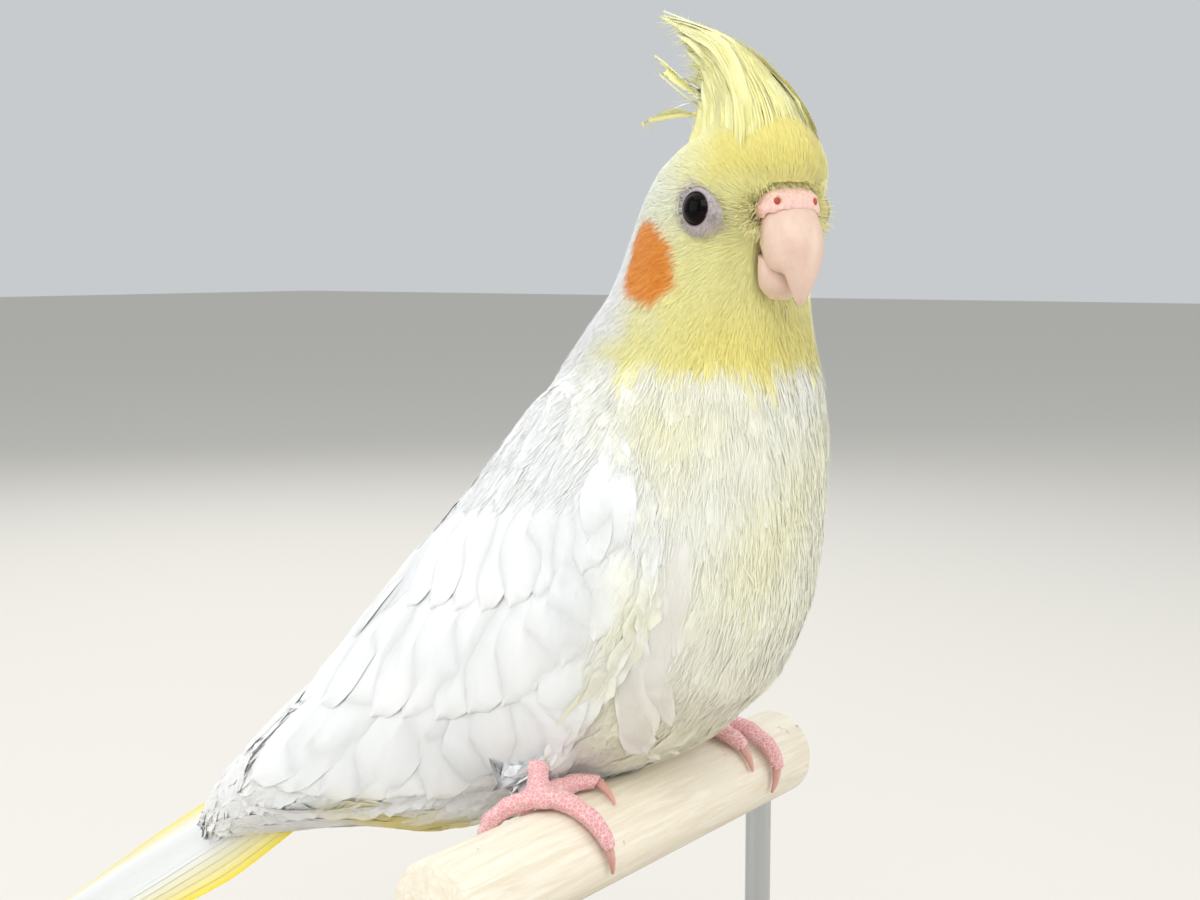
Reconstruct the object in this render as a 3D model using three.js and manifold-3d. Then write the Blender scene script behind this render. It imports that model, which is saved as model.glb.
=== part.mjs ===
// Cockatiel, life size, gripping a short wooden perch on a plain display stand.
// Millimetres, +Z up. The bird faces -Y, its left side is +X and the perch lies along X.
// The origin is the centre of the stand base's underside.

import * as THREE from 'three';
import { mergeVertices } from 'three/addons/utils/BufferGeometryUtils.js';
import Module from 'manifold-3d';

const wasm = await Module();
wasm.setup();

// Driving dimensions

const gap = 0.3;                  // clearance between neighbouring pieces

const perchRadius = 8.25;
const perchHeight = 110;          // perch axis above the floor
const perchFromBase = -17;        // perch axis in front of the base's centre
const perchRightEnd = -56;
const perchLeftEnd = 50;
const perchChamfer = 0.9;

const baseRadius = 66;
const baseHeight = 12;
const baseEdge = 2.5;
const rodRadius = 2.5;
const rodReach = [ -43, 43 ];     // where the rods meet the perch, along X

const neckPivotY = -17;           // vertical axis that the head turns about
const headTurn = THREE.MathUtils.degToRad( -27 );   // towards the bird's right
const headY = -19.8;              // middle of the head between the eyes, before the turn
const headZ = 105;

const wingThickness = 3.2;
const wingProud = 1.1;            // how far a wing stands out of the flank
const mantleHalfWidth = 8;        // back feathers between the two wings

const eyeRadius = 3.2;
const eyeAhead = 6.3;
const eyeSpread = 10.3;
const nostrilSpread = 2.6;

const tailSlope = THREE.MathUtils.degToRad( 32 );
const tailSwing = THREE.MathUtils.degToRad( 8 );    // towards the bird's right
const tailRoll = THREE.MathUtils.degToRad( 45 );    // right edge down
const tailRoot = new THREE.Vector3( 2, 76, -4.5 );
const tailLength = 152;

const palmSpread = 27.5;
const toeRadius = 1.95;
const toeClearance = 0.1;         // keeps the cut for the perch off the toes' facets
const clawRadius = 0.95;
const clawRoot = 0.4;             // how far a claw starts inside its toe

// Materials

const plainMaterial = ( color, roughness ) => new THREE.MeshStandardMaterial( { color, roughness, metalness: 0 } );

const looks = {
	whitePlumage: () => plainMaterial( 0xe9edec, 0.85 ),
	yellowPlumage: () => plainMaterial( 0xe8e27a, 0.85 ),
	bill: () => plainMaterial( 0xd9bfa8, 0.45 ),
	cere: () => plainMaterial( 0xe0b3a6, 0.6 ),
	eye: () => plainMaterial( 0x120c0a, 0.05 ),
	foot: () => plainMaterial( 0xd88e96, 0.6 ),
	claw: () => plainMaterial( 0xd9a59b, 0.4 ),
	perchWood: () => plainMaterial( 0xe4dac2, 0.8 ),
	baseWood: () => plainMaterial( 0x5b3a24, 0.45 ),
	rodSteel: () => new THREE.MeshStandardMaterial( { color: 0xb9bcc0, roughness: 0.3, metalness: 1 } ),
};

// Solids and booleans

function toSolid( geometry ) {

	const bare = new THREE.BufferGeometry().copy( geometry );
	bare.deleteAttribute( 'normal' );
	bare.deleteAttribute( 'uv' );
	const merged = mergeVertices( bare, 1e-5 );
	return new wasm.Manifold( new wasm.Mesh( {
		numProp: 3,
		vertProperties: new Float32Array( merged.attributes.position.array ),
		triVerts: new Uint32Array( merged.index.array ),
	} ) );

}

function toGeometry( solid ) {

	const mesh = solid.getMesh();
	const geometry = new THREE.BufferGeometry();
	geometry.setAttribute( 'position', new THREE.BufferAttribute( new Float32Array( mesh.vertProperties ), 3 ) );
	geometry.setIndex( new THREE.BufferAttribute( new Uint32Array( mesh.triVerts ), 1 ) );
	geometry.computeVertexNormals();
	return geometry;

}

function largestPiece( solid ) {

	return solid.decompose().sort( ( a, b ) => b.volume() - a.volume() )[ 0 ];

}

function join( solids ) {

	return solids.reduce( ( sum, solid ) => sum.add( solid ) );

}

// Lofts: a skin through rings of points, closed at each end by a fan round the ring's middle

function enclosedVolume( geometry ) {

	const corner = [ new THREE.Vector3(), new THREE.Vector3(), new THREE.Vector3() ];
	let volume = 0;
	for ( let i = 0; i < geometry.index.count; i += 3 ) {

		corner.forEach( ( point, k ) => point.fromBufferAttribute( geometry.attributes.position, geometry.index.getX( i + k ) ) );
		volume += corner[ 0 ].dot( corner[ 1 ].clone().cross( corner[ 2 ] ) ) / 6;

	}

	return volume;

}

function cappedLoft( sections ) {

	const columns = sections[ 0 ].length;
	const middle = ( ring ) => ring.reduce( ( sum, point ) => sum.add( point ), new THREE.Vector3() ).divideScalar( columns );
	const points = [ ...sections.flat(), middle( sections[ 0 ] ), middle( sections[ sections.length - 1 ] ) ];
	const startMiddle = sections.length * columns;
	const endMiddle = startMiddle + 1;
	const lastRow = startMiddle - columns;
	const index = [];
	for ( let column = 0; column < columns; column ++ ) {

		const next = ( column + 1 ) % columns;
		index.push( startMiddle, next, column, endMiddle, lastRow + column, lastRow + next );
		for ( let row = 0; row < lastRow; row += columns ) {

			index.push( row + column, row + next, row + columns + column );
			index.push( row + next, row + columns + next, row + columns + column );

		}

	}

	const geometry = new THREE.BufferGeometry().setFromPoints( points );
	geometry.setIndex( index );
	if ( enclosedVolume( geometry ) < 0 ) geometry.setIndex( index.reverse() );
	return geometry;

}

// A station is a cross-section of a body that is alike on its left and right: one point on its
// upper edge and one on its lower, both [y, z] in the middle plane, and the half width between.
// pinch narrows the lower half of the section. turn is how much of the head's turn it takes.

function stationCurves( stations ) {

	const spline = ( pick ) => new THREE.CatmullRomCurve3( stations.map( pick ), false, 'centripetal' );
	return {
		upper: spline( ( s ) => new THREE.Vector3( s.halfWidth, ...s.upper ) ),
		lower: spline( ( s ) => new THREE.Vector3( ( s.pinch ?? 0 ) * 10, ...s.lower ) ),
		turn: spline( ( s, i ) => new THREE.Vector3( i, s.turn ?? 0, 0 ) ),
	};

}

function stationLoft( stations, { rows, columns, grow = 0 } ) {

	const curves = stationCurves( stations );
	const sections = [];
	for ( let row = 0; row <= rows; row ++ ) {

		const t = row / rows;
		const upper = curves.upper.getPoint( t );
		const lower = curves.lower.getPoint( t );
		const halfWidth = Math.max( upper.x + grow, 0.05 );
		const pinch = lower.x / 10;
		const middle = new THREE.Vector3( 0, ( upper.y + lower.y ) / 2, ( upper.z + lower.z ) / 2 );
		const rise = new THREE.Vector3( 0, upper.y - middle.y, upper.z - middle.z );
		rise.setLength( Math.max( rise.length() + grow, 0.05 ) );
		const turn = curves.turn.getPoint( t ).y * headTurn;
		const ring = [];
		for ( let column = 0; column < columns; column ++ ) {

			const angle = column / columns * 2 * Math.PI;
			const height = Math.cos( angle );
			const point = middle.clone().addScaledVector( rise, height );
			point.x = - halfWidth * Math.sin( angle ) * ( 1 + pinch * Math.min( height, 0 ) );
			point.y -= neckPivotY;
			point.applyAxisAngle( new THREE.Vector3( 0, 0, 1 ), turn );
			point.y += neckPivotY;
			ring.push( point );

		}

		sections.push( ring );

	}

	return cappedLoft( sections );

}

// A blade is a thin long piece along a curve, such as a feather: frames give its place, the
// direction across it and its upper side, and profile its half width, half thickness and arch.

function bladeLoft( frames, columns ) {

	const sections = frames.map( ( { place, across, above, halfWidth, halfThickness, arch = 0 } ) => {

		const ring = [];
		for ( let column = 0; column < columns; column ++ ) {

			const angle = column / columns * 2 * Math.PI;
			const side = Math.cos( angle );
			const height = halfThickness * Math.sin( angle ) + arch * ( 1 - side * side ) - arch;
			ring.push( place.clone().addScaledVector( across, halfWidth * side ).addScaledVector( above, height ) );

		}

		return ring;

	} );
	return cappedLoft( sections );

}

// Body: one plumage outline from the tail coverts to the crown, parted with thin cuts later

const bodyStations = [
	{ upper: [ 109, - 19.5 ], lower: [ 105, - 25 ], halfWidth: 7 },
	{ upper: [ 104.5, - 10.5 ], lower: [ 93, - 22 ], halfWidth: 11.5 },
	{ upper: [ 92.5, 1 ], lower: [ 76, - 17 ], halfWidth: 15.5 },
	{ upper: [ 79, 12.5 ], lower: [ 57, - 12.5 ], halfWidth: 19.5 },
	{ upper: [ 65, 23.5 ], lower: [ 34, - 9 ], halfWidth: 22.5 },
	{ upper: [ 54, 35.5 ], lower: [ 16, 1 ], halfWidth: 25 },
	{ upper: [ 43.5, 47.5 ], lower: [ - 4, 10.2 ], halfWidth: 27 },
	{ upper: [ 32, 58.5 ], lower: [ - 22, 22 ], halfWidth: 28 },
	{ upper: [ 22, 69.5 ], lower: [ - 31, 39 ], halfWidth: 28 },
	{ upper: [ 14, 79 ], lower: [ - 33.5, 58 ], halfWidth: 26, turn: 0.1 },
	{ upper: [ 8.5, 87.5 ], lower: [ - 33, 74.5 ], halfWidth: 21.5, turn: 0.45 },
	{ upper: [ 4.5, 95 ], lower: [ - 31, 87 ], halfWidth: 17, turn: 0.85 },
	{ upper: [ 1.5, 102 ], lower: [ - 32.5, 97 ], halfWidth: 15.2, pinch: 0.1, turn: 1 },
	{ upper: [ - 2, 109 ], lower: [ - 37.5, 107.5 ], halfWidth: 14, pinch: 0.06, turn: 1 },
	{ upper: [ - 6.5, 114.5 ], lower: [ - 39.8, 114 ], halfWidth: 12, pinch: 0.03, turn: 1 },
	{ upper: [ - 13, 118 ], lower: [ - 36.5, 119.6 ], halfWidth: 7.5, turn: 1 },
	{ upper: [ - 20, 119.6 ], lower: [ - 30, 120.8 ], halfWidth: 2.6, turn: 1 },
];
const bodyRows = 22;
const bodyColumns = 18;

const bodyLoft = ( grow ) => toSolid( stationLoft( bodyStations, { rows: bodyRows, columns: bodyColumns, grow } ) );

// Plane across the body between two stations, at a place counted in stations from the tail

function bodyPlane( at ) {

	const curves = stationCurves( bodyStations );
	const middle = ( place ) => {

		const t = place / ( bodyStations.length - 1 );
		const point = curves.upper.getPoint( t ).add( curves.lower.getPoint( t ) ).multiplyScalar( 0.5 );
		return point.setX( 0 );

	};

	const normal = middle( at + 0.2 ).sub( middle( at - 0.2 ) ).normalize();
	return { normal, offset: normal.dot( middle( at ) ) };

}

function above( solid, { normal, offset } ) {

	return solid.trimByPlane( normal.toArray(), offset + gap / 2 );

}

function below( solid, { normal, offset } ) {

	return solid.trimByPlane( normal.clone().negate().toArray(), - offset + gap / 2 );

}

// Folded wings: the part of the flank inside a side outline, let into the body

const wingOutline = [
	[ 5, 79 ], [ - 9, 74 ], [ - 17, 64 ], [ - 19.5, 52 ], [ - 18, 42 ], [ - 12, 32.5 ], [ - 4, 23.5 ],
	[ 8, 12.5 ], [ 28, 3 ], [ 55, - 5.5 ], [ 84, - 10.5 ], [ 86, - 5 ], [ 74, 10 ], [ 58, 27 ], [ 40, 46 ], [ 22, 65 ],
];

function wingPrism( side, grow ) {

	const points = new THREE.CatmullRomCurve3( wingOutline.map( ( [ y, z ] ) => new THREE.Vector3( y, z, 0 ) ), true, 'centripetal' )
		.getPoints( 28 ).slice( 0, - 1 );
	const middle = points.reduce( ( sum, p ) => sum.add( p ), new THREE.Vector3() ).divideScalar( points.length );
	const grown = points.map( ( p ) => {

		const away = p.clone().sub( middle );
		return new THREE.Vector2( p.x, p.y ).addScaledVector( new THREE.Vector2( away.x, away.y ).normalize(), grow );

	} );
	const depth = 40 - mantleHalfWidth + grow;
	const prism = new THREE.ExtrudeGeometry( new THREE.Shape( grown ), { depth, bevelEnabled: false } );
	// the outline's x and y become the body's y and z, and the depth runs along X
	prism.applyMatrix4( new THREE.Matrix4().makeBasis(
		new THREE.Vector3( 0, 1, 0 ), new THREE.Vector3( 0, 0, 1 ), new THREE.Vector3( 1, 0, 0 ) ) );
	prism.translate( side > 0 ? mantleHalfWidth - grow : - 40, 0, 0 );
	return toSolid( prism );

}

// Head frame: -Y is ahead of the face, +X its left, origin in the middle of the head

const headMatrix = new THREE.Matrix4().makeTranslation( 0, neckPivotY, 0 )
	.multiply( new THREE.Matrix4().makeRotationZ( headTurn ) )
	.multiply( new THREE.Matrix4().makeTranslation( 0, headY - neckPivotY, headZ ) );

const headPoint = ( ahead, left, up ) => new THREE.Vector3( left, - ahead, up ).applyMatrix4( headMatrix );

function headBall( { ahead, left = 0, up, radii, grow = 0, detail = 20 } ) {

	const ball = new THREE.SphereGeometry( 1, detail, Math.round( detail * 0.7 ) );
	ball.scale( radii[ 1 ] + grow, radii[ 0 ] + grow, radii[ 2 ] + grow );
	ball.translate( left, - ahead, up );
	ball.applyMatrix4( headMatrix );
	return toSolid( ball );

}

// Bill stations: upper is the outer edge and lower the inner one, as [-ahead, up] in the head frame

const upperBillStations = [
	{ upper: [ - 18.8, 1.2 ], lower: [ - 12.4, 0.6 ], halfWidth: 4.4 },
	{ upper: [ - 20.6, - 1.2 ], lower: [ - 12, - 2.8 ], halfWidth: 5.3 },
	{ upper: [ - 21.5, - 3.8 ], lower: [ - 12.4, - 5.8 ], halfWidth: 5.3 },
	{ upper: [ - 21.5, - 6.4 ], lower: [ - 14.6, - 8.4 ], halfWidth: 4.6 },
	{ upper: [ - 21.2, - 8.2 ], lower: [ - 17.2, - 9.2 ], halfWidth: 3.2 },
	{ upper: [ - 20.8, - 10 ], lower: [ - 18, - 10.7 ], halfWidth: 2.2 },
	{ upper: [ - 20, - 12.4 ], lower: [ - 18.5, - 12.6 ], halfWidth: 1.1 },
	{ upper: [ - 19.2, - 13.8 ], lower: [ - 18.7, - 13.8 ], halfWidth: 0.35 },
];

const lowerBillStations = [
	{ upper: [ - 14.6, - 12.9 ], lower: [ - 12, - 12.4 ], halfWidth: 1.8 },
	{ upper: [ - 17, - 11.2 ], lower: [ - 11, - 11 ], halfWidth: 3.6 },
	{ upper: [ - 17.5, - 9.2 ], lower: [ - 11, - 8.8 ], halfWidth: 4.1 },
	{ upper: [ - 16.8, - 6.4 ], lower: [ - 11.5, - 4.6 ], halfWidth: 4.4 },
];

function headStationLoft( stations, { rows, columns, grow = 0 } ) {

	const geometry = stationLoft( stations, { rows, columns, grow } );
	geometry.applyMatrix4( headMatrix );
	return toSolid( geometry );

}

const upperBillSolid = ( grow ) => headStationLoft( upperBillStations, { rows: 9, columns: 10, grow } );
const lowerBillSolid = ( grow ) => headStationLoft( lowerBillStations, { rows: 5, columns: 10, grow } );

function cereSolid( grow ) {

	const saddle = headBall( { ahead: 15.3, up: 1.2, radii: [ 3.9, 5.8, 4 ], grow, detail: 10 } );
	const bumps = [ 1, - 1 ].map( ( side ) => headBall( {
		ahead: 16.2, left: side * nostrilSpread, up: 2.3, radii: [ 2.3, 2.3, 2.3 ], grow, detail: 7 } ) );
	return join( [ saddle, ...bumps ] );

}

function nostrilSolids() {

	return [ 1, - 1 ].map( ( side ) => headBall( {
		ahead: 18, left: side * ( nostrilSpread + 0.9 ), up: 2.4, radii: [ 0.95, 0.75, 0.8 ], detail: 6 } ) );

}

const eyeSolid = ( side, grow ) => headBall( {
	ahead: eyeAhead, left: side * eyeSpread, up: 1.3, radii: [ eyeRadius, eyeRadius, eyeRadius ], grow, detail: 11 } );

// Crest: a swept-back fan of feathers, thick enough to hold at its tips

const crestStations = [
	{ upper: [ - 16.5, 11.5 ], lower: [ 2, 10 ], halfWidth: 8 },
	{ upper: [ - 15, 14.6 ], lower: [ 3, 14.4 ], halfWidth: 6.8 },
	{ upper: [ - 9.8, 20.4 ], lower: [ 4.3, 19.8 ], halfWidth: 4.6 },
	{ upper: [ - 5, 24.8 ], lower: [ 6.5, 23.6 ], halfWidth: 3.2 },
	{ upper: [ 0, 27.6 ], lower: [ 9, 26.2 ], halfWidth: 2.1 },
	{ upper: [ 8, 30.4 ], lower: [ 12.6, 29 ], halfWidth: 1.3 },
	{ upper: [ 15, 32.9 ], lower: [ 17, 32 ], halfWidth: 0.8 },
	{ upper: [ 23.4, 35.6 ], lower: [ 24, 35.3 ], halfWidth: 0.4 },
];

const crestPlumes = [
	{ root: [ - 4, 1, 19 ], bend: [ - 8, 1, 29 ], tip: [ - 15.5, 1, 33.5 ], halfWidth: 1.6 },
	{ root: [ - 1, - 1.5, 18 ], bend: [ - 13, - 2, 23 ], tip: [ - 23, - 2, 28.5 ], halfWidth: 1.5 },
	{ root: [ 0, - 2, 17 ], bend: [ - 12, - 3, 21.5 ], tip: [ - 19, - 3.5, 25 ], halfWidth: 1.4 },
	{ root: [ - 1, - 2, 16 ], bend: [ - 10, - 4, 19 ], tip: [ - 23, - 4.5, 16.8 ], halfWidth: 1.1 },
];
const plumeHalfThickness = 0.45;

function plumeSolid( { root, bend, tip, halfWidth } ) {

	const curve = new THREE.QuadraticBezierCurve3( headPoint( ...root ), headPoint( ...bend ), headPoint( ...tip ) );
	const steps = 4;
	const across = new THREE.Vector3( 1, 0, 0 ).applyAxisAngle( new THREE.Vector3( 0, 0, 1 ), headTurn );
	const frames = [];
	for ( let i = 0; i <= steps; i ++ ) {

		const t = i / steps;
		const along = curve.getTangent( t );
		frames.push( {
			place: curve.getPoint( t ),
			across,
			above: new THREE.Vector3().crossVectors( across, along ).normalize(),
			halfWidth: Math.max( halfWidth * Math.sqrt( 1 - t * t ), 0.4 ),
			halfThickness: plumeHalfThickness,
		} );

	}

	return toSolid( bladeLoft( frames, 6 ) );

}

function crestSolid() {

	const fan = headStationLoft( crestStations, { rows: 8, columns: 8 } );
	return join( [ fan, ...crestPlumes.map( plumeSolid ) ] );

}

// Tail: twelve long feathers folded to one tapering blade, slightly arched and rolled towards the right

const tailProfile = [
	{ at: 0, halfWidth: 9, halfThickness: 3, arch: 2.5 },
	{ at: 0.2, halfWidth: 12, halfThickness: 2.4, arch: 2.5 },
	{ at: 0.45, halfWidth: 11.2, halfThickness: 1.7, arch: 2.1 },
	{ at: 0.7, halfWidth: 8.6, halfThickness: 1.2, arch: 1.6 },
	{ at: 0.88, halfWidth: 5, halfThickness: 0.8, arch: 0.9 },
	{ at: 1, halfWidth: 1.2, halfThickness: 0.4, arch: 0.1 },
];

function tailSolid() {

	const along = new THREE.Vector3(
		- Math.sin( tailSwing ) * Math.cos( tailSlope ), Math.cos( tailSwing ) * Math.cos( tailSlope ), - Math.sin( tailSlope ) );
	const level = new THREE.Vector3( 0, 0, 1 ).cross( along ).negate().normalize();
	const across = level.clone().applyAxisAngle( along, - tailRoll );
	const top = new THREE.Vector3().crossVectors( across, along ).normalize();
	const widths = new THREE.CatmullRomCurve3( tailProfile.map( ( p ) => new THREE.Vector3( p.at, p.halfWidth, p.halfThickness ) ) );
	const arches = new THREE.CatmullRomCurve3( tailProfile.map( ( p ) => new THREE.Vector3( p.at, p.arch, 0 ) ) );
	const steps = 11;
	const frames = [];
	for ( let i = 0; i <= steps; i ++ ) {

		const width = widths.getPoint( i / steps );
		frames.push( {
			place: tailRoot.clone().addScaledVector( along, width.x * tailLength ),
			across,
			above: top,
			halfWidth: width.y,
			halfThickness: width.z,
			arch: arches.getPoint( i / steps ).y,
		} );

	}

	return toSolid( bladeLoft( frames, 12 ) );

}

// Feet: toes run round the perch, so a place on them is an X and an angle from the perch's top,
// positive towards the front

const footToes = {
	right: [
		{ name: 'front_outer', path: [ [ - 27, - 8 ], [ - 25, 30 ], [ - 22.8, 74 ] ], claw: [ - 20.5, 106 ] },
		{ name: 'front_inner', path: [ [ - 26, - 8 ], [ - 19, - 13 ], [ - 13, 4 ] ], claw: [ - 15, 36 ] },
		{ name: 'back_outer', path: [ [ - 28, - 10 ], [ - 31, - 40 ], [ - 31.5, - 84 ] ], claw: [ - 31, - 116 ] },
		{ name: 'back_inner', path: [ [ - 26, - 12 ], [ - 23, - 38 ], [ - 22, - 62 ] ], claw: [ - 22, - 92 ] },
	],
	left: [
		{ name: 'front_outer', path: [ [ 28, - 6 ], [ 31.8, 38 ], [ 33.4, 78 ] ], claw: [ 33, 108 ] },
		{ name: 'front_inner', path: [ [ 26, - 6 ], [ 25, 20 ], [ 26, 42 ] ], claw: [ 26, 70 ] },
		{ name: 'back_outer', path: [ [ 28, - 10 ], [ 31, - 42 ], [ 32, - 84 ] ], claw: [ 31.5, - 116 ] },
		{ name: 'back_inner', path: [ [ 26, - 10 ], [ 22.5, - 36 ], [ 21.5, - 60 ] ], claw: [ 21.5, - 90 ] },
	],
};

function perchPoint( x, degrees, reach ) {

	const angle = THREE.MathUtils.degToRad( degrees );
	return new THREE.Vector3( x, - reach * Math.sin( angle ), reach * Math.cos( angle ) );

}

function gripSolid( path, radiusAt, steps, columns, grow = 0 ) {

	const route = new THREE.CatmullRomCurve3( path.map( ( [ x, degrees ] ) => new THREE.Vector3( x, degrees, 0 ) ) );
	const placeAt = ( t ) => {

		const { x, y } = route.getPoint( Math.min( Math.max( t, 0 ), 1 ) );
		return perchPoint( x, y, perchRadius + gap + toeClearance + radiusAt( t ) );

	};

	const frames = [];
	for ( let i = 0; i <= steps; i ++ ) {

		const t = i / steps;
		const place = placeAt( t );
		const along = placeAt( t + 0.03 ).sub( placeAt( t - 0.03 ) ).normalize();
		const outward = new THREE.Vector3( 0, place.y, place.z ).normalize();
		const across = new THREE.Vector3().crossVectors( along, outward ).normalize();
		const radius = radiusAt( t ) + grow;
		frames.push( { place, across, above: outward, halfWidth: radius, halfThickness: radius } );

	}

	return toSolid( bladeLoft( frames, columns ) );

}

function toeSolid( { path } ) {

	const taper = ( t ) => toeRadius * ( 1 - 0.22 * t ) * ( t > 0.94 ? 0.8 : 1 ) * ( 1 + 0.06 * Math.cos( t * 6 * Math.PI ) );
	return gripSolid( path, taper, 8, 6 );

}

function clawSolid( { path, claw }, grow ) {

	// the claw's root sits a little way inside the toe, which is cut back round it
	const [ x, degrees ] = path[ path.length - 1 ];
	const sunk = THREE.MathUtils.radToDeg( ( clawRoot + grow ) / perchRadius );
	const start = [ x, degrees - Math.sign( claw[ 1 ] - degrees ) * sunk ];
	const middle = [ ( x + claw[ 0 ] ) / 2, ( degrees + claw[ 1 ] ) / 2 ];
	return gripSolid( [ start, middle, claw ], ( t ) => clawRadius * ( 1.05 - 0.72 * t ), 5, 6, grow );

}

function shankSolid( side ) {

	// the bare tarsus, from the palm on the perch up and back into the thigh feathers
	const palm = new THREE.Vector3( side * palmSpread, 1.5, perchRadius + gap + 2.2 );
	const ankle = new THREE.Vector3( side * ( palmSpread - 6 ), 6, perchRadius + 7 );
	const along = ankle.clone().sub( palm ).normalize();
	const across = new THREE.Vector3( 1, 0, 0 ).cross( along ).cross( along ).negate().normalize();
	const above = new THREE.Vector3().crossVectors( along, across ).normalize();
	const steps = 4;
	const frames = [];
	for ( let i = 0; i <= steps; i ++ ) {

		const t = i / steps;
		const radius = 2.1 + 0.35 * Math.cos( t * 2 * Math.PI );
		frames.push( { place: palm.clone().lerp( ankle, t ), across, above, halfWidth: radius, halfThickness: radius } );

	}

	return toSolid( bladeLoft( frames, 8 ) );

}

function palmSolid( side ) {

	const palm = new THREE.SphereGeometry( 1, 9, 6 );
	palm.scale( 3.1, 3.4, 2.1 );
	palm.translate( side * ( palmSpread - 0.5 ), 1.2, perchRadius + gap + 2 );
	return toSolid( palm );

}

function thighSolid( side, grow ) {

	// the feathered thigh bulges out of the belly beside the perch
	const thigh = new THREE.SphereGeometry( 1, 12, 8 );
	thigh.scale( 7 + grow, 9 + grow, 8 + grow );
	thigh.rotateY( side * 0.5 );
	thigh.translate( side * 18.5, 10.5, 16 );
	return toSolid( thigh );

}

// Perch and display stand

function perchGeometry( grow ) {

	const length = perchLeftEnd - perchRightEnd;
	const radius = perchRadius + grow;
	const profile = [
		[ 0, - grow ], [ radius - perchChamfer, - grow ], [ radius, perchChamfer - grow ],
		[ radius, length - perchChamfer + grow ], [ radius - perchChamfer, length + grow ], [ 0, length + grow ],
	].map( ( p ) => new THREE.Vector2( ...p ) );
	const perch = new THREE.LatheGeometry( profile, 20 );
	perch.rotateZ( - Math.PI / 2 );
	perch.translate( perchRightEnd, 0, 0 );
	return perch;

}

function baseGeometry() {

	const profile = [ new THREE.Vector2( 0, 0 ), new THREE.Vector2( baseRadius - 1, 0 ), new THREE.Vector2( baseRadius, 1 ) ];
	const steps = 3;
	for ( let i = 0; i <= steps; i ++ ) {

		const angle = i / steps * Math.PI / 2;
		profile.push( new THREE.Vector2(
			baseRadius - baseEdge + baseEdge * Math.cos( angle ), baseHeight - baseEdge + baseEdge * Math.sin( angle ) ) );

	}

	profile.push( new THREE.Vector2( 0, baseHeight ) );
	const base = new THREE.LatheGeometry( profile, 28 );
	base.rotateX( Math.PI / 2 );
	return base;

}

function rodSolid( x ) {

	const rodTop = perchHeight - perchRadius / 2;
	const rod = new THREE.CylinderGeometry( rodRadius, rodRadius, rodTop - baseHeight - gap, 14 );
	rod.rotateX( Math.PI / 2 );
	rod.translate( x, 0, ( rodTop + baseHeight + gap ) / 2 - perchHeight );
	return toSolid( rod ).subtract( toSolid( perchGeometry( gap ) ) );

}

// Assembly

const cockatiel = new THREE.Group();
cockatiel.name = 'cockatiel_on_stand';
const perched = new THREE.Group();
perched.position.set( 0, perchFromBase, perchHeight );
cockatiel.add( perched );

function addPiece( parent, name, shape, look ) {

	const geometry = shape.isBufferGeometry ? shape : toGeometry( largestPiece( shape ) );
	const mesh = new THREE.Mesh( geometry, look() );
	mesh.name = name;
	parent.add( mesh );

}

const sides = { right: - 1, left: 1 };
const core = bodyLoft( - wingThickness );
const pocketFloor = bodyLoft( - wingThickness - gap );
const proudBody = bodyLoft( wingProud );
const proudBodyClear = bodyLoft( wingProud + gap );

let flesh = bodyLoft( 0 );
for ( const [ name, side ] of Object.entries( sides ) ) {

	const wing = proudBody.intersect( wingPrism( side, 0 ) ).subtract( core );
	const pocket = wingPrism( side, gap ).subtract( pocketFloor );
	const thigh = thighSolid( side, 0 ).subtract( pocket ).subtract( toSolid( perchGeometry( gap ) ) );
	addPiece( perched, `wing_${name}`, wing, looks.whitePlumage );
	flesh = flesh.subtract( pocket );
	addPiece( perched, `thigh_${name}`, thigh, looks.whitePlumage );
	flesh = flesh.subtract( thighSolid( side, gap ) );
	addPiece( perched, `eye_${name}`, eyeSolid( side, 0 ), looks.eye );
	flesh = flesh.subtract( eyeSolid( side, gap ) );

}

flesh = flesh.subtract( join( [ upperBillSolid( gap ), lowerBillSolid( gap ), cereSolid( gap ) ] ) );
flesh = flesh.subtract( toSolid( perchGeometry( gap ) ) );

const rumpPlane = bodyPlane( 3.4 );
const neckPlane = bodyPlane( 9.3 );
const headPlane = bodyPlane( 11.4 );
addPiece( perched, 'rump', below( flesh, rumpPlane ), looks.whitePlumage );
addPiece( perched, 'trunk', below( above( flesh, rumpPlane ), neckPlane ), looks.whitePlumage );
addPiece( perched, 'neck', below( above( flesh, neckPlane ), headPlane ), looks.yellowPlumage );
addPiece( perched, 'head', above( flesh, headPlane ), looks.yellowPlumage );

addPiece( perched, 'tail', tailSolid().subtract( bodyLoft( gap ) ), looks.whitePlumage );
addPiece( perched, 'crest', crestSolid().subtract( bodyLoft( gap ) ), looks.yellowPlumage );
addPiece( perched, 'bill_upper', upperBillSolid( 0 ), looks.bill );
addPiece( perched, 'bill_lower', lowerBillSolid( 0 ).subtract( upperBillSolid( gap ) ), looks.bill );
addPiece( perched, 'cere', cereSolid( 0 ).subtract( join( [ upperBillSolid( gap ), ...nostrilSolids() ] ) ), looks.cere );

for ( const [ name, side ] of Object.entries( sides ) ) {

	const toes = footToes[ name ];
	const foot = join( [ palmSolid( side ), shankSolid( side ), ...toes.map( toeSolid ) ] )
		.subtract( toSolid( perchGeometry( gap ) ) )
		.subtract( thighSolid( side, gap ) )
		.subtract( proudBodyClear )
		.subtract( join( toes.map( ( toe ) => clawSolid( toe, gap ) ) ) );
	addPiece( perched, `foot_${name}`, foot, looks.foot );
	for ( const toe of toes ) addPiece( perched, `claw_${name}_${toe.name}`, clawSolid( toe, 0 ), looks.claw );

}

addPiece( perched, 'perch', perchGeometry( 0 ), looks.perchWood );
addPiece( cockatiel, 'stand_base', baseGeometry(), looks.baseWood );
rodReach.forEach( ( x, i ) => addPiece( perched, `stand_rod_${i + 1}`, rodSolid( x ), looks.rodSteel ) );

export default cockatiel;
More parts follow.
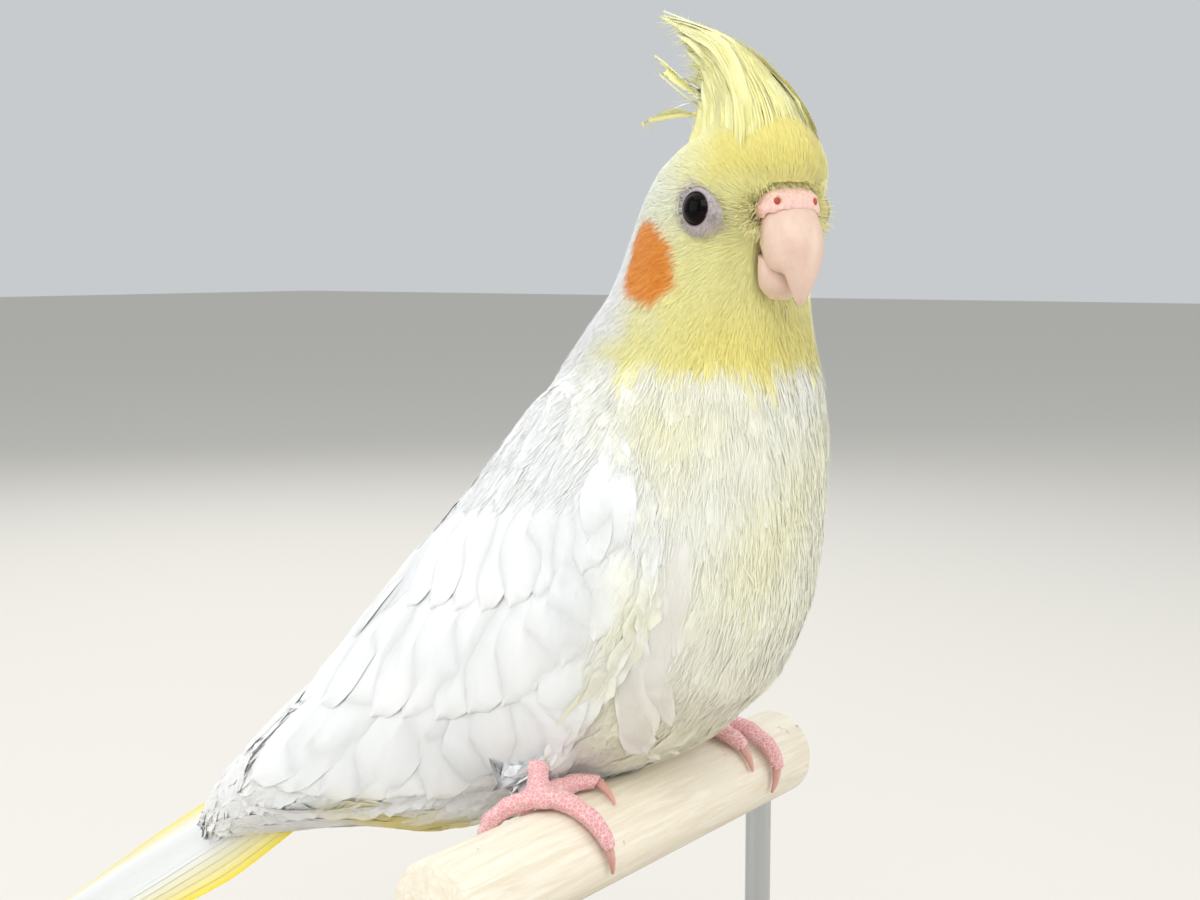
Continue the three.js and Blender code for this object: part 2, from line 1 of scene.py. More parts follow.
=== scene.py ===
import math
import bpy
import bmesh
import numpy as np
from mathutils import Matrix, Vector
from mathutils.bvhtree import BVHTree


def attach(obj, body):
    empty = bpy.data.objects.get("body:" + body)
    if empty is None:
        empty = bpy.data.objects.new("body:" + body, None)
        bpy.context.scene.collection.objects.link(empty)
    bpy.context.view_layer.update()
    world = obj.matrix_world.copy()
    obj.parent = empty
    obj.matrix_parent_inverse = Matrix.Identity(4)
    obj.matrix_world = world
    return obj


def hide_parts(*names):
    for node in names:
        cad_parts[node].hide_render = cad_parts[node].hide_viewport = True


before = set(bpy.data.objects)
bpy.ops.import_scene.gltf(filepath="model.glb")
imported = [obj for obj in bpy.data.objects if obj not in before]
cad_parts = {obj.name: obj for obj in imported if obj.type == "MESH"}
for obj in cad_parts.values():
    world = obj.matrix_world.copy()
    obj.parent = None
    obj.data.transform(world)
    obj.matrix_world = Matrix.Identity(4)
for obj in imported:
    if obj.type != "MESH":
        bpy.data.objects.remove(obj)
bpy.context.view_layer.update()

mm = 0.001
perchPlace = np.array([0.0, -17.0, 110.0])      # perch axis, from the middle of the base's underside
headPose = {"pivotY": -17.0, "turn": math.radians(-27), "y": -19.8, "z": 105.0}


# places: millimetres about the perch axis, and about the middle of the head

def perched(points):
    return (np.asarray(points, float) + perchPlace) * mm


def fromPerch(points):
    return np.asarray(points, float) / mm - perchPlace


def turnedZ(points, angle):
    c, s = math.cos(angle), math.sin(angle)
    points = np.asarray(points, float)
    return np.stack([points[..., 0] * c - points[..., 1] * s,
        points[..., 0] * s + points[..., 1] * c, points[..., 2]], -1)


def onHead(points):
    points = np.asarray(points, float)
    local = np.stack([points[..., 1], headPose["y"] - points[..., 0] - headPose["pivotY"],
        points[..., 2] + headPose["z"]], -1)
    turned = turnedZ(local, headPose["turn"])
    turned[..., 1] += headPose["pivotY"]
    return perched(turned)


def aboutHead(points):
    local = fromPerch(points)
    local[..., 1] -= headPose["pivotY"]
    back = turnedZ(local, -headPose["turn"])
    ahead = headPose["y"] - headPose["pivotY"] - back[..., 1]
    return np.stack([ahead, back[..., 0], back[..., 2] - headPose["z"]], -1)


def unit(vectors):
    vectors = np.asarray(vectors, float)
    return vectors / (np.linalg.norm(vectors, axis=-1, keepdims=True) + 1e-12)


def smooth(low, high, value):
    t = np.clip((value - low) / (high - low), 0, 1)
    return t * t * (3 - 2 * t)


def linear(hexText):
    value = np.array([int(hexText[i:i + 2], 16) / 255 for i in (1, 3, 5)])
    return np.where(value <= 0.04045, value / 12.92, ((value + 0.055) / 1.055) ** 2.4)


def rgba(hexText):
    return (*linear(hexText), 1.0)


def drift(points, size, seed):
    waves = np.random.default_rng(seed)
    total = np.zeros(np.asarray(points).shape[:-1])
    for wave in range(7):
        direction = unit(waves.normal(size=3))
        pitch = 2 * math.pi / (size * waves.uniform(0.6, 1.5))
        total += np.sin((points @ direction) * pitch + waves.uniform(0, 6.3))
    return total / 3.2


# materials

def makeMaterial(name):
    made = bpy.data.materials.new(name)
    made.use_nodes = True
    made.node_tree.nodes.clear()
    return made, made.node_tree


def addNode(tree, kind, settings=None, sockets=None, links=None):
    node = tree.nodes.new(kind)
    for key, value in (settings or {}).items():
        setattr(node, key, value)
    for key, value in (sockets or {}).items():
        node.inputs[key].default_value = value
    for key, source in (links or {}).items():
        tree.links.new(source, node.inputs[key])
    return node


def finishMaterial(tree, sockets, color=None, height=None, strength=0.0, depth=0.0):
    # the last steps of every material: bump from the height if there is one, shader and output
    links = {} if color is None else {"Base Color": color}
    if height is not None:
        bump = addNode(tree, "ShaderNodeBump", sockets={"Strength": strength, "Distance": depth},
            links={"Height": height})
        links["Normal"] = bump.outputs[0]
    shader = addNode(tree, "ShaderNodeBsdfPrincipled", sockets=sockets, links=links)
    addNode(tree, "ShaderNodeOutputMaterial", links={"Surface": shader.outputs[0]})


def plumageMaterial(name, barbs, barbDepth, sheen):
    # matte keratin barbs: soft shading with a faint sheen, and fine slanting lines along each vane
    made, tree = makeMaterial(name)
    tint = addNode(tree, "ShaderNodeAttribute", {"attribute_name": "tint"})
    vane = addNode(tree, "ShaderNodeUVMap", {"uv_map": "vane"})
    slant = addNode(tree, "ShaderNodeMapping",
        sockets={"Rotation": (0, 0, 0.6), "Scale": (barbs, barbs * 0.5, 1)},
        links={"Vector": vane.outputs[0]})
    lines = addNode(tree, "ShaderNodeTexWave", {"wave_type": "BANDS", "bands_direction": "X"},
        {"Scale": 1.0, "Distortion": 2.5, "Detail": 2.0, "Detail Scale": 1.5},
        {"Vector": slant.outputs[0]})
    shade = addNode(tree, "ShaderNodeMapRange", sockets={"To Min": 0.9, "To Max": 1.04},
        links={"Value": lines.outputs["Fac"]})
    tinted = addNode(tree, "ShaderNodeVectorMath", {"operation": "SCALE"},
        links={0: tint.outputs["Color"], "Scale": shade.outputs[0]})
    finishMaterial(tree, {"Roughness": 0.72, "Sheen Weight": sheen, "Sheen Roughness": 0.5,
        "Specular IOR Level": 0.25, "Subsurface Weight": 0.2, "Subsurface Scale": 0.002,
        "Subsurface Radius": (1.0, 0.85, 0.7)},
        tinted.outputs[0], lines.outputs["Fac"], 0.35, barbDepth)
    return made


def skinMaterial():
    # thin pink skin showing between the feather roots, tinted like the plumage over it
    made, tree = makeMaterial("birdSkinUnderPlumage")
    tint = addNode(tree, "ShaderNodeAttribute", {"attribute_name": "tint"})
    place = addNode(tree, "ShaderNodeTexCoord").outputs["Object"]
    grain = addNode(tree, "ShaderNodeTexNoise", sockets={"Scale": 1400.0, "Detail": 3.0},
        links={"Vector": place})
    finishMaterial(tree, {"Roughness": 0.8, "Specular IOR Level": 0.2},
        tint.outputs["Color"], grain.outputs["Fac"], 0.4, 0.0002)
    return made


def hornMaterial(name, light, dark, roughness, scale):
    # worn keratin: satin, slightly translucent, with faint growth streaks and scuffs
    made, tree = makeMaterial(name)
    place = addNode(tree, "ShaderNodeTexCoord").outputs["Object"]
    stretch = addNode(tree, "ShaderNodeMapping", sockets={"Scale": (1.0, 1.0, 0.35)}, links={"Vector": place})
    streaks = addNode(tree, "ShaderNodeTexNoise", sockets={"Scale": scale, "Detail": 5.0, "Roughness": 0.6},
        links={"Vector": stretch.outputs[0]}).outputs["Fac"]
    blend = addNode(tree, "ShaderNodeMix", {"data_type": "RGBA"}, {6: rgba(light), 7: rgba(dark)},
        {0: streaks})
    finishMaterial(tree,
        {"Roughness": roughness, "Subsurface Weight": 0.2, "Subsurface Scale": 0.001, "IOR": 1.54},
        blend.outputs[2], streaks, 0.3, 0.0001)
    return made


def scaleSkinMaterial(name, flesh, net, cellSize, depth):
    # dry scaly skin: small plates parted by paler lines
    made, tree = makeMaterial(name)
    place = addNode(tree, "ShaderNodeTexCoord").outputs["Object"]
    cells = addNode(tree, "ShaderNodeTexVoronoi", {"feature": "DISTANCE_TO_EDGE"},
        {"Scale": 1 / cellSize, "Randomness": 0.75}, {"Vector": place})
    plates = addNode(tree, "ShaderNodeMapRange", sockets={"From Min": 0.0, "From Max": 0.16},
        links={"Value": cells.outputs["Distance"]}).outputs[0]
    blend = addNode(tree, "ShaderNodeMix", {"data_type": "RGBA"}, {6: rgba(net), 7: rgba(flesh)}, {0: plates})
    finishMaterial(tree, {"Roughness": 0.55, "Subsurface Weight": 0.25, "Subsurface Scale": 0.0012,
        "Subsurface Radius": (1.0, 0.4, 0.3)}, blend.outputs[2], plates, 0.7, depth)
    return made


# pieces

def linkPiece(name, mesh, material, slotName, *replaced):
    piece = bpy.data.objects.new(name, mesh)
    bpy.context.scene.collection.objects.link(piece)
    mesh.materials.clear()
    mesh.materials.append(material)
    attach(piece, "root")
    if replaced:
        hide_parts(*replaced)
    return piece


def meshFrom(name, verts, faces):
    mesh = bpy.data.meshes.new(name)
    mesh.from_pydata([tuple(v) for v in verts], [], [tuple(f) for f in faces])
    mesh.update()
    mesh.shade_smooth()
    return mesh


def ringFaces(rings, segments):
    # the faces between rings of points
    return np.array([(r * segments + s, r * segments + (s + 1) % segments,
        (r + 1) * segments + (s + 1) % segments, (r + 1) * segments + s)
        for r in range(rings - 1) for s in range(segments)])


def applied(piece):
    bpy.context.view_layer.update()
    graph = bpy.context.evaluated_depsgraph_get()
    mesh = bpy.data.meshes.new_from_object(piece.evaluated_get(graph))
    old = piece.data
    piece.modifiers.clear()
    piece.data = mesh
    bpy.data.meshes.remove(old)
    return mesh


def remeshed(name, mesh, voxel, passes, inset=0.0):
    # one closed surface round all that the mesh holds, smoothed, then drawn in by the inset
    piece = bpy.data.objects.new(name, mesh)
    bpy.context.scene.collection.objects.link(piece)
    cover = piece.modifiers.new("cover", "REMESH")
    cover.mode = "VOXEL"
    cover.voxel_size = voxel
    relax = piece.modifiers.new("relax", "SMOOTH")
    relax.factor = 0.5
    relax.iterations = passes
    if inset:
        draw = piece.modifiers.new("draw", "DISPLACE")
        draw.strength = -inset
        draw.mid_level = 0.0
    made = applied(piece)
    bpy.data.objects.remove(piece)
    made.shade_smooth()
    return made


def joinedNodes(names, inflate=0.0):
    joined = bmesh.new()
    for name in names:
        part = bmesh.new()
        part.from_mesh(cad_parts[name].data)
        part.transform(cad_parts[name].matrix_world)
        bmesh.ops.remove_doubles(part, verts=part.verts, dist=2e-6)
        bmesh.ops.recalc_face_normals(part, faces=part.faces)
        part.normal_update()
        for vert in part.verts:
            vert.co += vert.normal * inflate
        scratch = bpy.data.meshes.new("scratch")
        part.to_mesh(scratch)
        joined.from_mesh(scratch)
        bpy.data.meshes.remove(scratch)
        part.free()
    mesh = bpy.data.meshes.new("joined")
    joined.to_mesh(mesh)
    joined.free()
    return mesh


def meshArrays(mesh):
    verts = np.empty(len(mesh.vertices) * 3)
    mesh.vertices.foreach_get("co", verts)
    mesh.calc_loop_triangles()
    tris = np.empty(len(mesh.loop_triangles) * 3, dtype=np.int64)
    mesh.loop_triangles.foreach_get("vertices", tris)
    return verts.reshape(-1, 3), tris.reshape(-1, 3)


def paint(mesh, colors):
    layer = mesh.color_attributes.new("tint", "FLOAT_COLOR", "POINT")
    data = np.ones((len(mesh.vertices), 4))
    data[:, :3] = colors
    layer.data.foreach_set("color", data.ravel())


# camera at the photo's place: its distance and lens give the photo's perspective

cameraView = {"place": (-244.0, -162.9, 98.5), "turn": 54.94, "down": 6.4, "lens": 51.0}

cameraData = bpy.data.cameras.new("photoCamera")
cameraData.lens = cameraView["lens"]
cameraData.sensor_width = 36
cameraData.clip_start = 0.01
cameraData.clip_end = 20
camera = bpy.data.objects.new("photoCamera", cameraData)
bpy.context.scene.collection.objects.link(camera)
camera.location = Vector(perched(cameraView["place"]))
camera.rotation_euler = (math.radians(90 - cameraView["down"]), 0, -math.radians(cameraView["turn"]))
bpy.context.scene.camera = camera
print("camera placed")

# markings: the same colours for skin and coat, worked out from the place on the bird

plumageColors = {
    "white": "#F8F8F6", "wingGrey": "#F0F2F2", "wash": "#F7F4D2", "belly": "#F4ECCB", "lemon": "#FAF4A6",
    "deep": "#F8EA84", "face": "#F0F2DC", "ring": "#C9BEC6", "lore": "#A9A29C", "cheek": "#F49C38",
    "cheekDark": "#E37A22", "tailYellow": "#F0DA28", "undertail": "#F0DE70",
}


def mixColor(base, hexText, amount):
    return base + (linear(hexText) - base) * np.clip(amount, 0, 1)[..., None]


def dyed(base, colorName, amount):
    return mixColor(base, plumageColors[colorName], amount)


def markings(points):
    body = fromPerch(points)
    head = aboutHead(points)
    x, y, z = body[..., 0], body[..., 1], body[..., 2]
    ahead, left, up = head[..., 0], head[..., 1], head[..., 2]
    color = np.broadcast_to(linear(plumageColors["white"]), points.shape).copy()
    patch = drift(points, 0.022, 3)
    fine = drift(points, 0.006, 4)
    front = smooth(2, -16, y) * smooth(26, 18, np.abs(x)) * smooth(88, 74, z)
    wing = smooth(15, 21, np.abs(x)) * smooth(-26, -14, y) * smooth(84, 66, z)
    color = dyed(color, "wingGrey", wing * (0.5 + 0.5 * patch))
    color = dyed(color, "wash", front * smooth(22, 60, z) * (0.75 + 0.3 * patch))
    color = dyed(color, "belly", front * smooth(50, 20, z) * 0.85)
    edge = np.exp(-(((y + 17) / 5) ** 2 + ((z - 46) / 8) ** 2))
    edge = edge + np.exp(-(((y + 10) / 4) ** 2 + ((z - 32) / 6) ** 2))
    color = dyed(color, "wash", edge * smooth(12, 20, np.abs(x)) * 0.7)
    under = smooth(4, -6, z) * smooth(10, 26, y) * smooth(60, 40, y)
    color = dyed(color, "undertail", under)
    # the yellow mask ends in a line across the throat and fades towards the nape
    maskLine = smooth(-24.5, -20.5, up + 1.2 * fine)
    backward = smooth(-9, 5, ahead + 1.5 * fine - 0.25 * (up + 6))
    crown = smooth(6, 12, up) * smooth(-10, 0, ahead)
    mask = maskLine * np.clip(np.maximum(backward, crown), 0, 1)
    color = dyed(color, "lemon", mask * 0.95)
    pale = np.exp(-(((ahead + 1) / 8) ** 2 + ((up - 3) / 7) ** 2)) * smooth(6, 10, np.abs(left))
    color = dyed(color, "face", pale * 0.9)
    throat = maskLine * smooth(-8, -19, up) * smooth(0, 9, ahead)
    brow = smooth(3, 7, up) * smooth(8, 13, ahead) * smooth(15, 10, up)
    color = dyed(color, "deep", np.maximum(throat * 0.75, brow * 0.8))
    cheekField = ((ahead + 2.1 + 0.12 * (up + 6)) / 6.0) ** 2 + ((up + 6.1) / 6.7) ** 2 + 0.14 * fine
    cheek = smooth(1.2, 0.66, cheekField) * smooth(5, 8, np.abs(left))
    color = dyed(color, "cheek", cheek)
    color = dyed(color, "cheekDark", cheek * np.clip(0.45 * drift(points, 0.0022, 9), 0, 1))
    # lilac grey skin and tiny feathers round the eye, grey stippled lores between it and the cere
    color = dyed(color, "ring", smooth(4.7, 3.5, eyeDistance(points)) * 0.8)
    lore = np.exp(-(((ahead - 12) / 4.2) ** 2 + ((up + 0.6 + 0.25 * (ahead - 12)) / 2.4) ** 2))
    lore = lore * smooth(5, 7, np.abs(left))
    stipple = 0.55 + 0.45 * np.sin(points[..., 0] * 9000) * np.sin(points[..., 2] * 8000)
    color = dyed(color, "lore", lore * 0.75 * stipple)
    return color


def eyeDistance(points):
    head = aboutHead(points)
    ahead, left, up = head[..., 0] - 7.4, np.abs(head[..., 1]) - 12.2, head[..., 2] - 1.3
    return np.sqrt(ahead ** 2 + left ** 2 + up ** 2)


# skin: one surface under all the plumage, drawn in by the coat's depth

skinSizes = {"voxel": 0.0008, "inflate": 0.00028, "passes": 10, "coatDepth": 0.0009}
fleshNodes = ["rump", "trunk", "neck", "head", "wing_right", "wing_left", "thigh_right", "thigh_left"]

skinMesh = remeshed("skin", joinedNodes(fleshNodes, skinSizes["inflate"]), skinSizes["voxel"],
    skinSizes["passes"], skinSizes["coatDepth"] + skinSizes["inflate"])
skinVerts, skinTris = meshArrays(skinMesh)
paint(skinMesh, markings(skinVerts))
skinFinish = skinMaterial()
linkPiece("skin", skinMesh, skinFinish, "white_plumage", *fleshNodes)
skinTree = BVHTree.FromPolygons([tuple(v) for v in skinVerts], [tuple(t) for t in skinTris])
print("skin", len(skinTris), "triangles")


def nearestOn(tree, points):
    places = np.empty((len(points), 3))
    normals = np.empty((len(points), 3))
    for i, point in enumerate(points):
        places[i], normals[i] = tree.find_nearest(Vector(point))[:2]
    return places, normals


def surfaceOf(verts, tris):
    corners = verts[tris]
    normals = np.cross(corners[:, 1] - corners[:, 0], corners[:, 2] - corners[:, 0])
    return {"corners": corners, "normals": normals, "areas": np.linalg.norm(normals, axis=1) / 2,
        "centres": corners.mean(axis=1)}


skinSurface = surfaceOf(skinVerts, skinTris)

# the lie of the coat: places with the way that the feathers point there, both sides alike.
# The first list is in perch millimetres (across, back, up), the second about the head (ahead, left, up).

bodyLie = [
    ([5, -32, 84], [0, 0, -1]), ([0, 6, 92], [0, 0.55, -0.85]), ([14, -8, 88], [0, 0.35, -0.9]),
    ([0, -33, 70], [0, -0.1, -1]), ([20, -25, 65], [0, 0.2, -1]), ([25, 0, 68], [0, 0.55, -0.8]),
    ([0, 22, 68], [0, 0.7, -0.75]), ([0, -30, 40], [0, 0.3, -1]), ([0, -10, 14], [0, 0.8, -0.6]),
    ([18, -18, 35], [0, 0.5, -0.85]), ([27, 10, 40], [0, 0.7, -0.7]), ([0, 50, 40], [0, 0.72, -0.7]),
    ([22, 8, 12], [0.1, 0.5, -0.85]), ([0, 20, -3], [0, 1, -0.3]), ([20, 50, 10], [0, 0.85, -0.5]),
    ([0, 80, 12], [0, 0.72, -0.7]), ([0, 100, -10], [0, 0.8, -0.6]), ([0, 70, -14], [0, 0.95, -0.3]),
]
headLie = [
    ([17, 0, 8], [-0.2, 0, 1]), ([14, 6, 7], [-0.5, 0.2, 0.9]), ([8, 0, 15], [-1, 0, 0.5]),
    ([-6, 0, 13], [-1, 0, -0.4]), ([-14, 0, 2], [-0.5, 0, -1]), ([12, 10, 0], [-1, 0.5, 0]),
    ([5, 13, 8], [-1, 0, 0.1]), ([4, 13, -5], [-1, 0.1, -0.35]), ([-4, 14, -7], [-0.8, 0, -0.7]),
    ([-8, 12, 0], [-0.8, 0, -0.6]), ([12, 7, -12], [-0.5, 0.5, -0.8]), ([14, 0, -18], [0, 0, -1]),
    ([8, 9, -18], [-0.2, 0.1, -1]), ([-6, 11, -18], [-0.3, 0, -1]), ([0, 12, -26], [0, 0, -1]),
    ([14, 3, 13], [-0.35, 0, 1]), ([8, 2, 22], [-0.7, 0, 0.9]), ([0, 1, 27], [-1, 0, 0.5]),
    ([-12, 1, 31], [-1, 0, 0.35]), ([-4, 3, 14], [-0.2, 0, 1]), ([-7, 2, 20], [-0.5, 0, 0.9]),
]


def mirrored(guides, across):
    flip = np.ones(3)
    flip[across] = -1
    pairs = [(np.array(g, float) * side) for g in guides for side in (np.ones(3), flip)]
    return np.array([pair[0] for pair in pairs]), unit([pair[1] for pair in pairs])


def headWay(ways):
    # directions given about the head, turned to the frame
    return unit(onHead(ways) - onHead([0, 0, 0]))


bodyPlaces, bodyWays = mirrored(bodyLie, 0)
headPlaces, headWays = mirrored(headLie, 1)
liePlaces = np.concatenate([bodyPlaces, fromPerch(onHead(headPlaces))])
lieWays = np.concatenate([bodyWays, headWay(headWays)])


def lieAt(points, normals):
    body = fromPerch(points)
    gaps = ((body[:, None, :] - liePlaces[None]) ** 2).sum(-1)
    flow = (1 / (gaps + 25) ** 2) @ lieWays
    flow -= normals * (flow * normals).sum(1, keepdims=True)
    return unit(flow)


# unwrap of the skin's own shape: along the bird's middle line and round it

spineLine = np.array([[109, -22], [84, -8], [54, 10], [24, 28], [-4, 48], [-12, 68], [-15, 86], [-18, 104],
    [-22, 121]], float)


def unwrapSkin(points):
    body = fromPerch(points)
    flat = body[:, 1:]
    best = np.full(len(flat), 1e9)
    along = np.zeros(len(flat))
    height = np.zeros(len(flat))
    lengths = np.linalg.norm(np.diff(spineLine, axis=0), axis=1)
    total = lengths.sum()
    for i, length in enumerate(lengths):
        start, way = spineLine[i], (spineLine[i + 1] - spineLine[i]) / length
        t = np.clip((flat - start) @ way, 0, length)
        foot = start + t[:, None] * way
        gap = np.linalg.norm(flat - foot, axis=1)
        closer = gap < best
        best[closer] = gap[closer]
        along[closer] = (lengths[:i].sum() + t[closer]) / total
        height[closer] = ((flat - foot) @ np.array([-way[1], way[0]]))[closer]
    turnShare = np.arctan2(body[:, 0], height) / (2 * math.pi) + 0.5
    return np.stack([0.01 + 0.98 * turnShare, 0.01 + 0.98 * along], -1)


# coat: vanes and strands scattered over the skin, each following it from root to tip

def scatter(surface, count, region, seed):
    chooser = np.random.default_rng(seed)
    chance = np.clip(surface["areas"] * region(surface["centres"]), 0, None)
    picks = chooser.choice(len(chance), size=count, p=chance / chance.sum())
    a, b = chooser.random((2, count))
    flip = a + b > 1
    a[flip], b[flip] = 1 - a[flip], 1 - b[flip]
    tri = surface["corners"][picks]
    points = tri[:, 0] + a[:, None] * (tri[:, 1] - tri[:, 0]) + b[:, None] * (tri[:, 2] - tri[:, 0])
    return points, unit(surface["normals"][picks])


def sheetArrays(places, ups, half, widths, across, camber, ragged, chooser):
    # rows of places along each vane, widened to both sides: (count, rows, columns, 3)
    tangents = np.gradient(places, axis=0)
    sides = unit(np.cross(ups, tangents))
    tops = unit(np.cross(tangents, sides))
    columns = np.array(across, float)
    reach = half[None, :, None] * np.array(widths, float)[:, None, None] * columns
    towardsTip = np.linspace(0, 1, len(places))[:, None, None]
    reach = reach * (1 + chooser.normal(0, ragged, reach.shape) * towardsTip)
    arch = camber * half[None, :, None] * (1 - columns ** 2) * np.ones(reach.shape)
    verts = places[:, :, None] + sides[:, :, None] * reach[..., None] + tops[:, :, None] * arch[..., None]
    shading = unit(tops[:, :, None] + sides[:, :, None] * (columns * 0.2)[:, None])
    return verts.transpose(1, 0, 2, 3), shading.transpose(1, 0, 2, 3)


patchSize = 0.003       # side of each feather's patch in the bake map


def sheetPiece(name, verts, shading, patchAt, colors, material, slotName, *replaced):
    # verts (count, rows, columns, 3) of one or more feathers become one mesh with its two maps
    count, rows, columns = verts.shape[:3]
    cells = np.array([(r * columns + c, (r + 1) * columns + c, (r + 1) * columns + c + 1, r * columns + c + 1)
        for r in range(rows - 1) for c in range(columns - 1)])
    faces = (np.arange(count)[:, None, None] * rows * columns + cells[None]).reshape(-1, 4)
    along, across = np.meshgrid(np.linspace(0, 1, rows), np.linspace(0, 1, columns), indexing="ij")
    vane = np.broadcast_to(np.stack([across, along], -1), (count, rows, columns, 2)).reshape(-1, 2)
    patch = (patchAt[:, None, None, :] + (np.stack([across, along], -1) - 0.5) * patchSize).reshape(-1, 2)
    mesh = bpy.data.meshes.new(name)
    mesh.vertices.add(count * rows * columns)
    mesh.vertices.foreach_set("co", np.ascontiguousarray(verts, dtype=np.float32).ravel())
    mesh.loops.add(faces.size)
    mesh.loops.foreach_set("vertex_index", faces.ravel().astype(np.int32))
    mesh.polygons.add(len(faces))
    mesh.polygons.foreach_set("loop_start", np.arange(0, faces.size, 4, dtype=np.int32))
    mesh.update(calc_edges=True)
    for label, values in (("OFBake", patch), ("vane", vane)):
        layer = mesh.uv_layers.new(name=label)
        layer.data.foreach_set("uv", np.ascontiguousarray(values[faces.ravel()], dtype=np.float32).ravel())
    paint(mesh, np.clip(np.broadcast_to(colors, verts.shape), 0, 1).reshape(-1, 3))
    mesh.shade_smooth()
    if shading is not None:
        flat = np.ascontiguousarray(shading.reshape(-1, 3), dtype=np.float32)
        mesh.normals_split_custom_set_from_vertices(flat)
    piece = linkPiece(name, mesh, material, slotName, *replaced)
    print(name, len(faces) * 2, "triangles")
    return piece


def creep(roots, normals, flow, length, rows, lifts, tree=skinTree):
    # rows of places that follow the skin from each root, raised by the lifts
    places, ups = [], []
    current, currentNormal = roots, normals
    for i in range(len(rows)):
        if i:
            step = (rows[i] - rows[i - 1]) * length
            ahead = unit(flow - currentNormal * (flow * currentNormal).sum(1, keepdims=True))
            current, currentNormal = nearestOn(tree, current + ahead * step[:, None])
        places.append(current + currentNormal * lifts[i][:, None])
        ups.append(currentNormal)
    return np.array(places), np.array(ups)


coatRagged = 0.12


def coatPiece(name, material, slotName, region, style, surface=skinSurface, tree=skinTree):
    chooser = np.random.default_rng(style["seed"])
    roots, normals = scatter(surface, style["count"], region, style["seed"])
    keep = eyeDistance(roots) > style["eyeClear"]
    roots, normals = roots[keep], normals[keep]
    count = len(roots)
    flow = lieAt(roots, normals)
    swing = chooser.normal(0, style["scatterAngle"], count)[:, None]
    flow = unit(flow * np.cos(swing) + np.cross(normals, flow) * np.sin(swing))
    size = style["sizeAt"](roots)
    length = style["length"] * mm * chooser.uniform(0.75, 1.25, count) * size
    half = style["halfWidth"] * mm * chooser.uniform(0.8, 1.2, count) * size
    rise = style["rise"] * mm * chooser.uniform(0.35, 1.0, count) * style["puffAt"](roots)
    lifts = [0.05 * mm + rise * (0.25 + 0.75 * t) + style["curl"] * mm * max(t - 0.6, 0) ** 1.5
        for t in style["rows"]]
    places, ups = creep(roots, normals, flow, length, style["rows"], lifts, tree)
    verts, shading = sheetArrays(places, ups, half, style["widths"], style["across"], style["camber"],
        coatRagged, chooser)
    color = markings(roots) * (1 + chooser.normal(0, style["shade"], count))[:, None]
    tipShade = np.array([0.97 + 0.07 * t for t in style["rows"]])
    colors = color[:, None, None, :] * tipShade[None, :, None, None]
    return sheetPiece(name, verts, shading, unwrapSkin(roots), colors, material, slotName)


vaneFinish = plumageMaterial("contourFeatherVane", 26.0, 0.00012, 0.25)
strandFinish = plumageMaterial("downyFeatherBarb", 3.0, 0.00005, 0.35)
flightFinish = plumageMaterial("flightFeatherVane", 60.0, 0.0001, 0.15)


def headShare(points):
    head = aboutHead(points)
    return smooth(-26, -19, head[:, 2])


def clearOfBill(points):
    head = aboutHead(points)
    onBill = (head[:, 0] > 12.5) & (np.abs(head[:, 1]) < 5.2) & (head[:, 2] < 3.8) & (head[:, 2] > -13.5)
    return np.where(onBill, 0.0, 1.0)


def clearOfPerch(points):
    body = fromPerch(points)
    return np.where(np.hypot(body[:, 1], body[:, 2]) < 10.2, 0.0, 1.0)


def headRegion(points):
    return headShare(points) * clearOfBill(points)


def bodyRegion(points):
    # thinner on the wings, where the long feathers lie
    return (1 - headShare(points)) * clearOfPerch(points) * (1 - 0.35 * onWing(points))


def sizeOnBody(points):
    body = fromPerch(points)
    wing = smooth(14, 22, np.abs(body[:, 0])) * smooth(-24, -8, body[:, 1])
    return 0.75 + 0.5 * smooth(80, 40, body[:, 2]) + 0.25 * wing


vaneRows = [0.0, 0.3, 0.6, 0.85, 1.0]
vaneWidths = [0.35, 0.9, 1.0, 0.75, 0.12]
strandRows = [0.0, 0.5, 1.0]
strandWidths = [0.9, 1.0, 0.1]

def evenSize(points):
    return np.ones(len(points))


def puffOnBody(points):
    # loose on the breast, belly and thighs, flat on the wings and back
    body = fromPerch(points)
    front = smooth(4, -18, body[:, 1]) * smooth(95, 80, body[:, 2])
    low = smooth(20, 8, body[:, 2]) * smooth(30, 16, body[:, 1])
    wing = onWing(points)
    return (0.55 + 0.6 * np.maximum(front, low)) * (1 + 0.3 * wing) * (1 - 0.4 * smooth(50, 80, body[:, 1]))


def onWing(points):
    body = fromPerch(points)
    edge = np.interp(body[:, 2], [-12, 3, 12, 26, 45, 60, 72, 82], [90, 26, 8, -6, -17, -16, -8, 10])
    return smooth(11, 17, np.abs(body[:, 0])) * smooth(-2, 5, body[:, 1] - edge) * smooth(84, 74, body[:, 2])


def coatStyle(seed, count, length, halfWidth, rise, scatterAngle, onHeadToo=False, vanes=False):
    return {"seed": seed, "count": count, "length": length, "halfWidth": halfWidth, "rise": rise,
        "scatterAngle": scatterAngle, "camber": 0.12 if vanes else 0.0, "shade": 0.012 if vanes else 0.025,
        "rows": vaneRows if vanes else strandRows, "widths": vaneWidths if vanes else strandWidths,
        "across": [-1, 0, 1] if vanes else [-1, 1], "curl": 0.0 if vanes else 0.3,
        "eyeClear": 4.6 if vanes else 3.6, "sizeAt": evenSize if onHeadToo else sizeOnBody,
        "puffAt": evenSize if onHeadToo else puffOnBody}


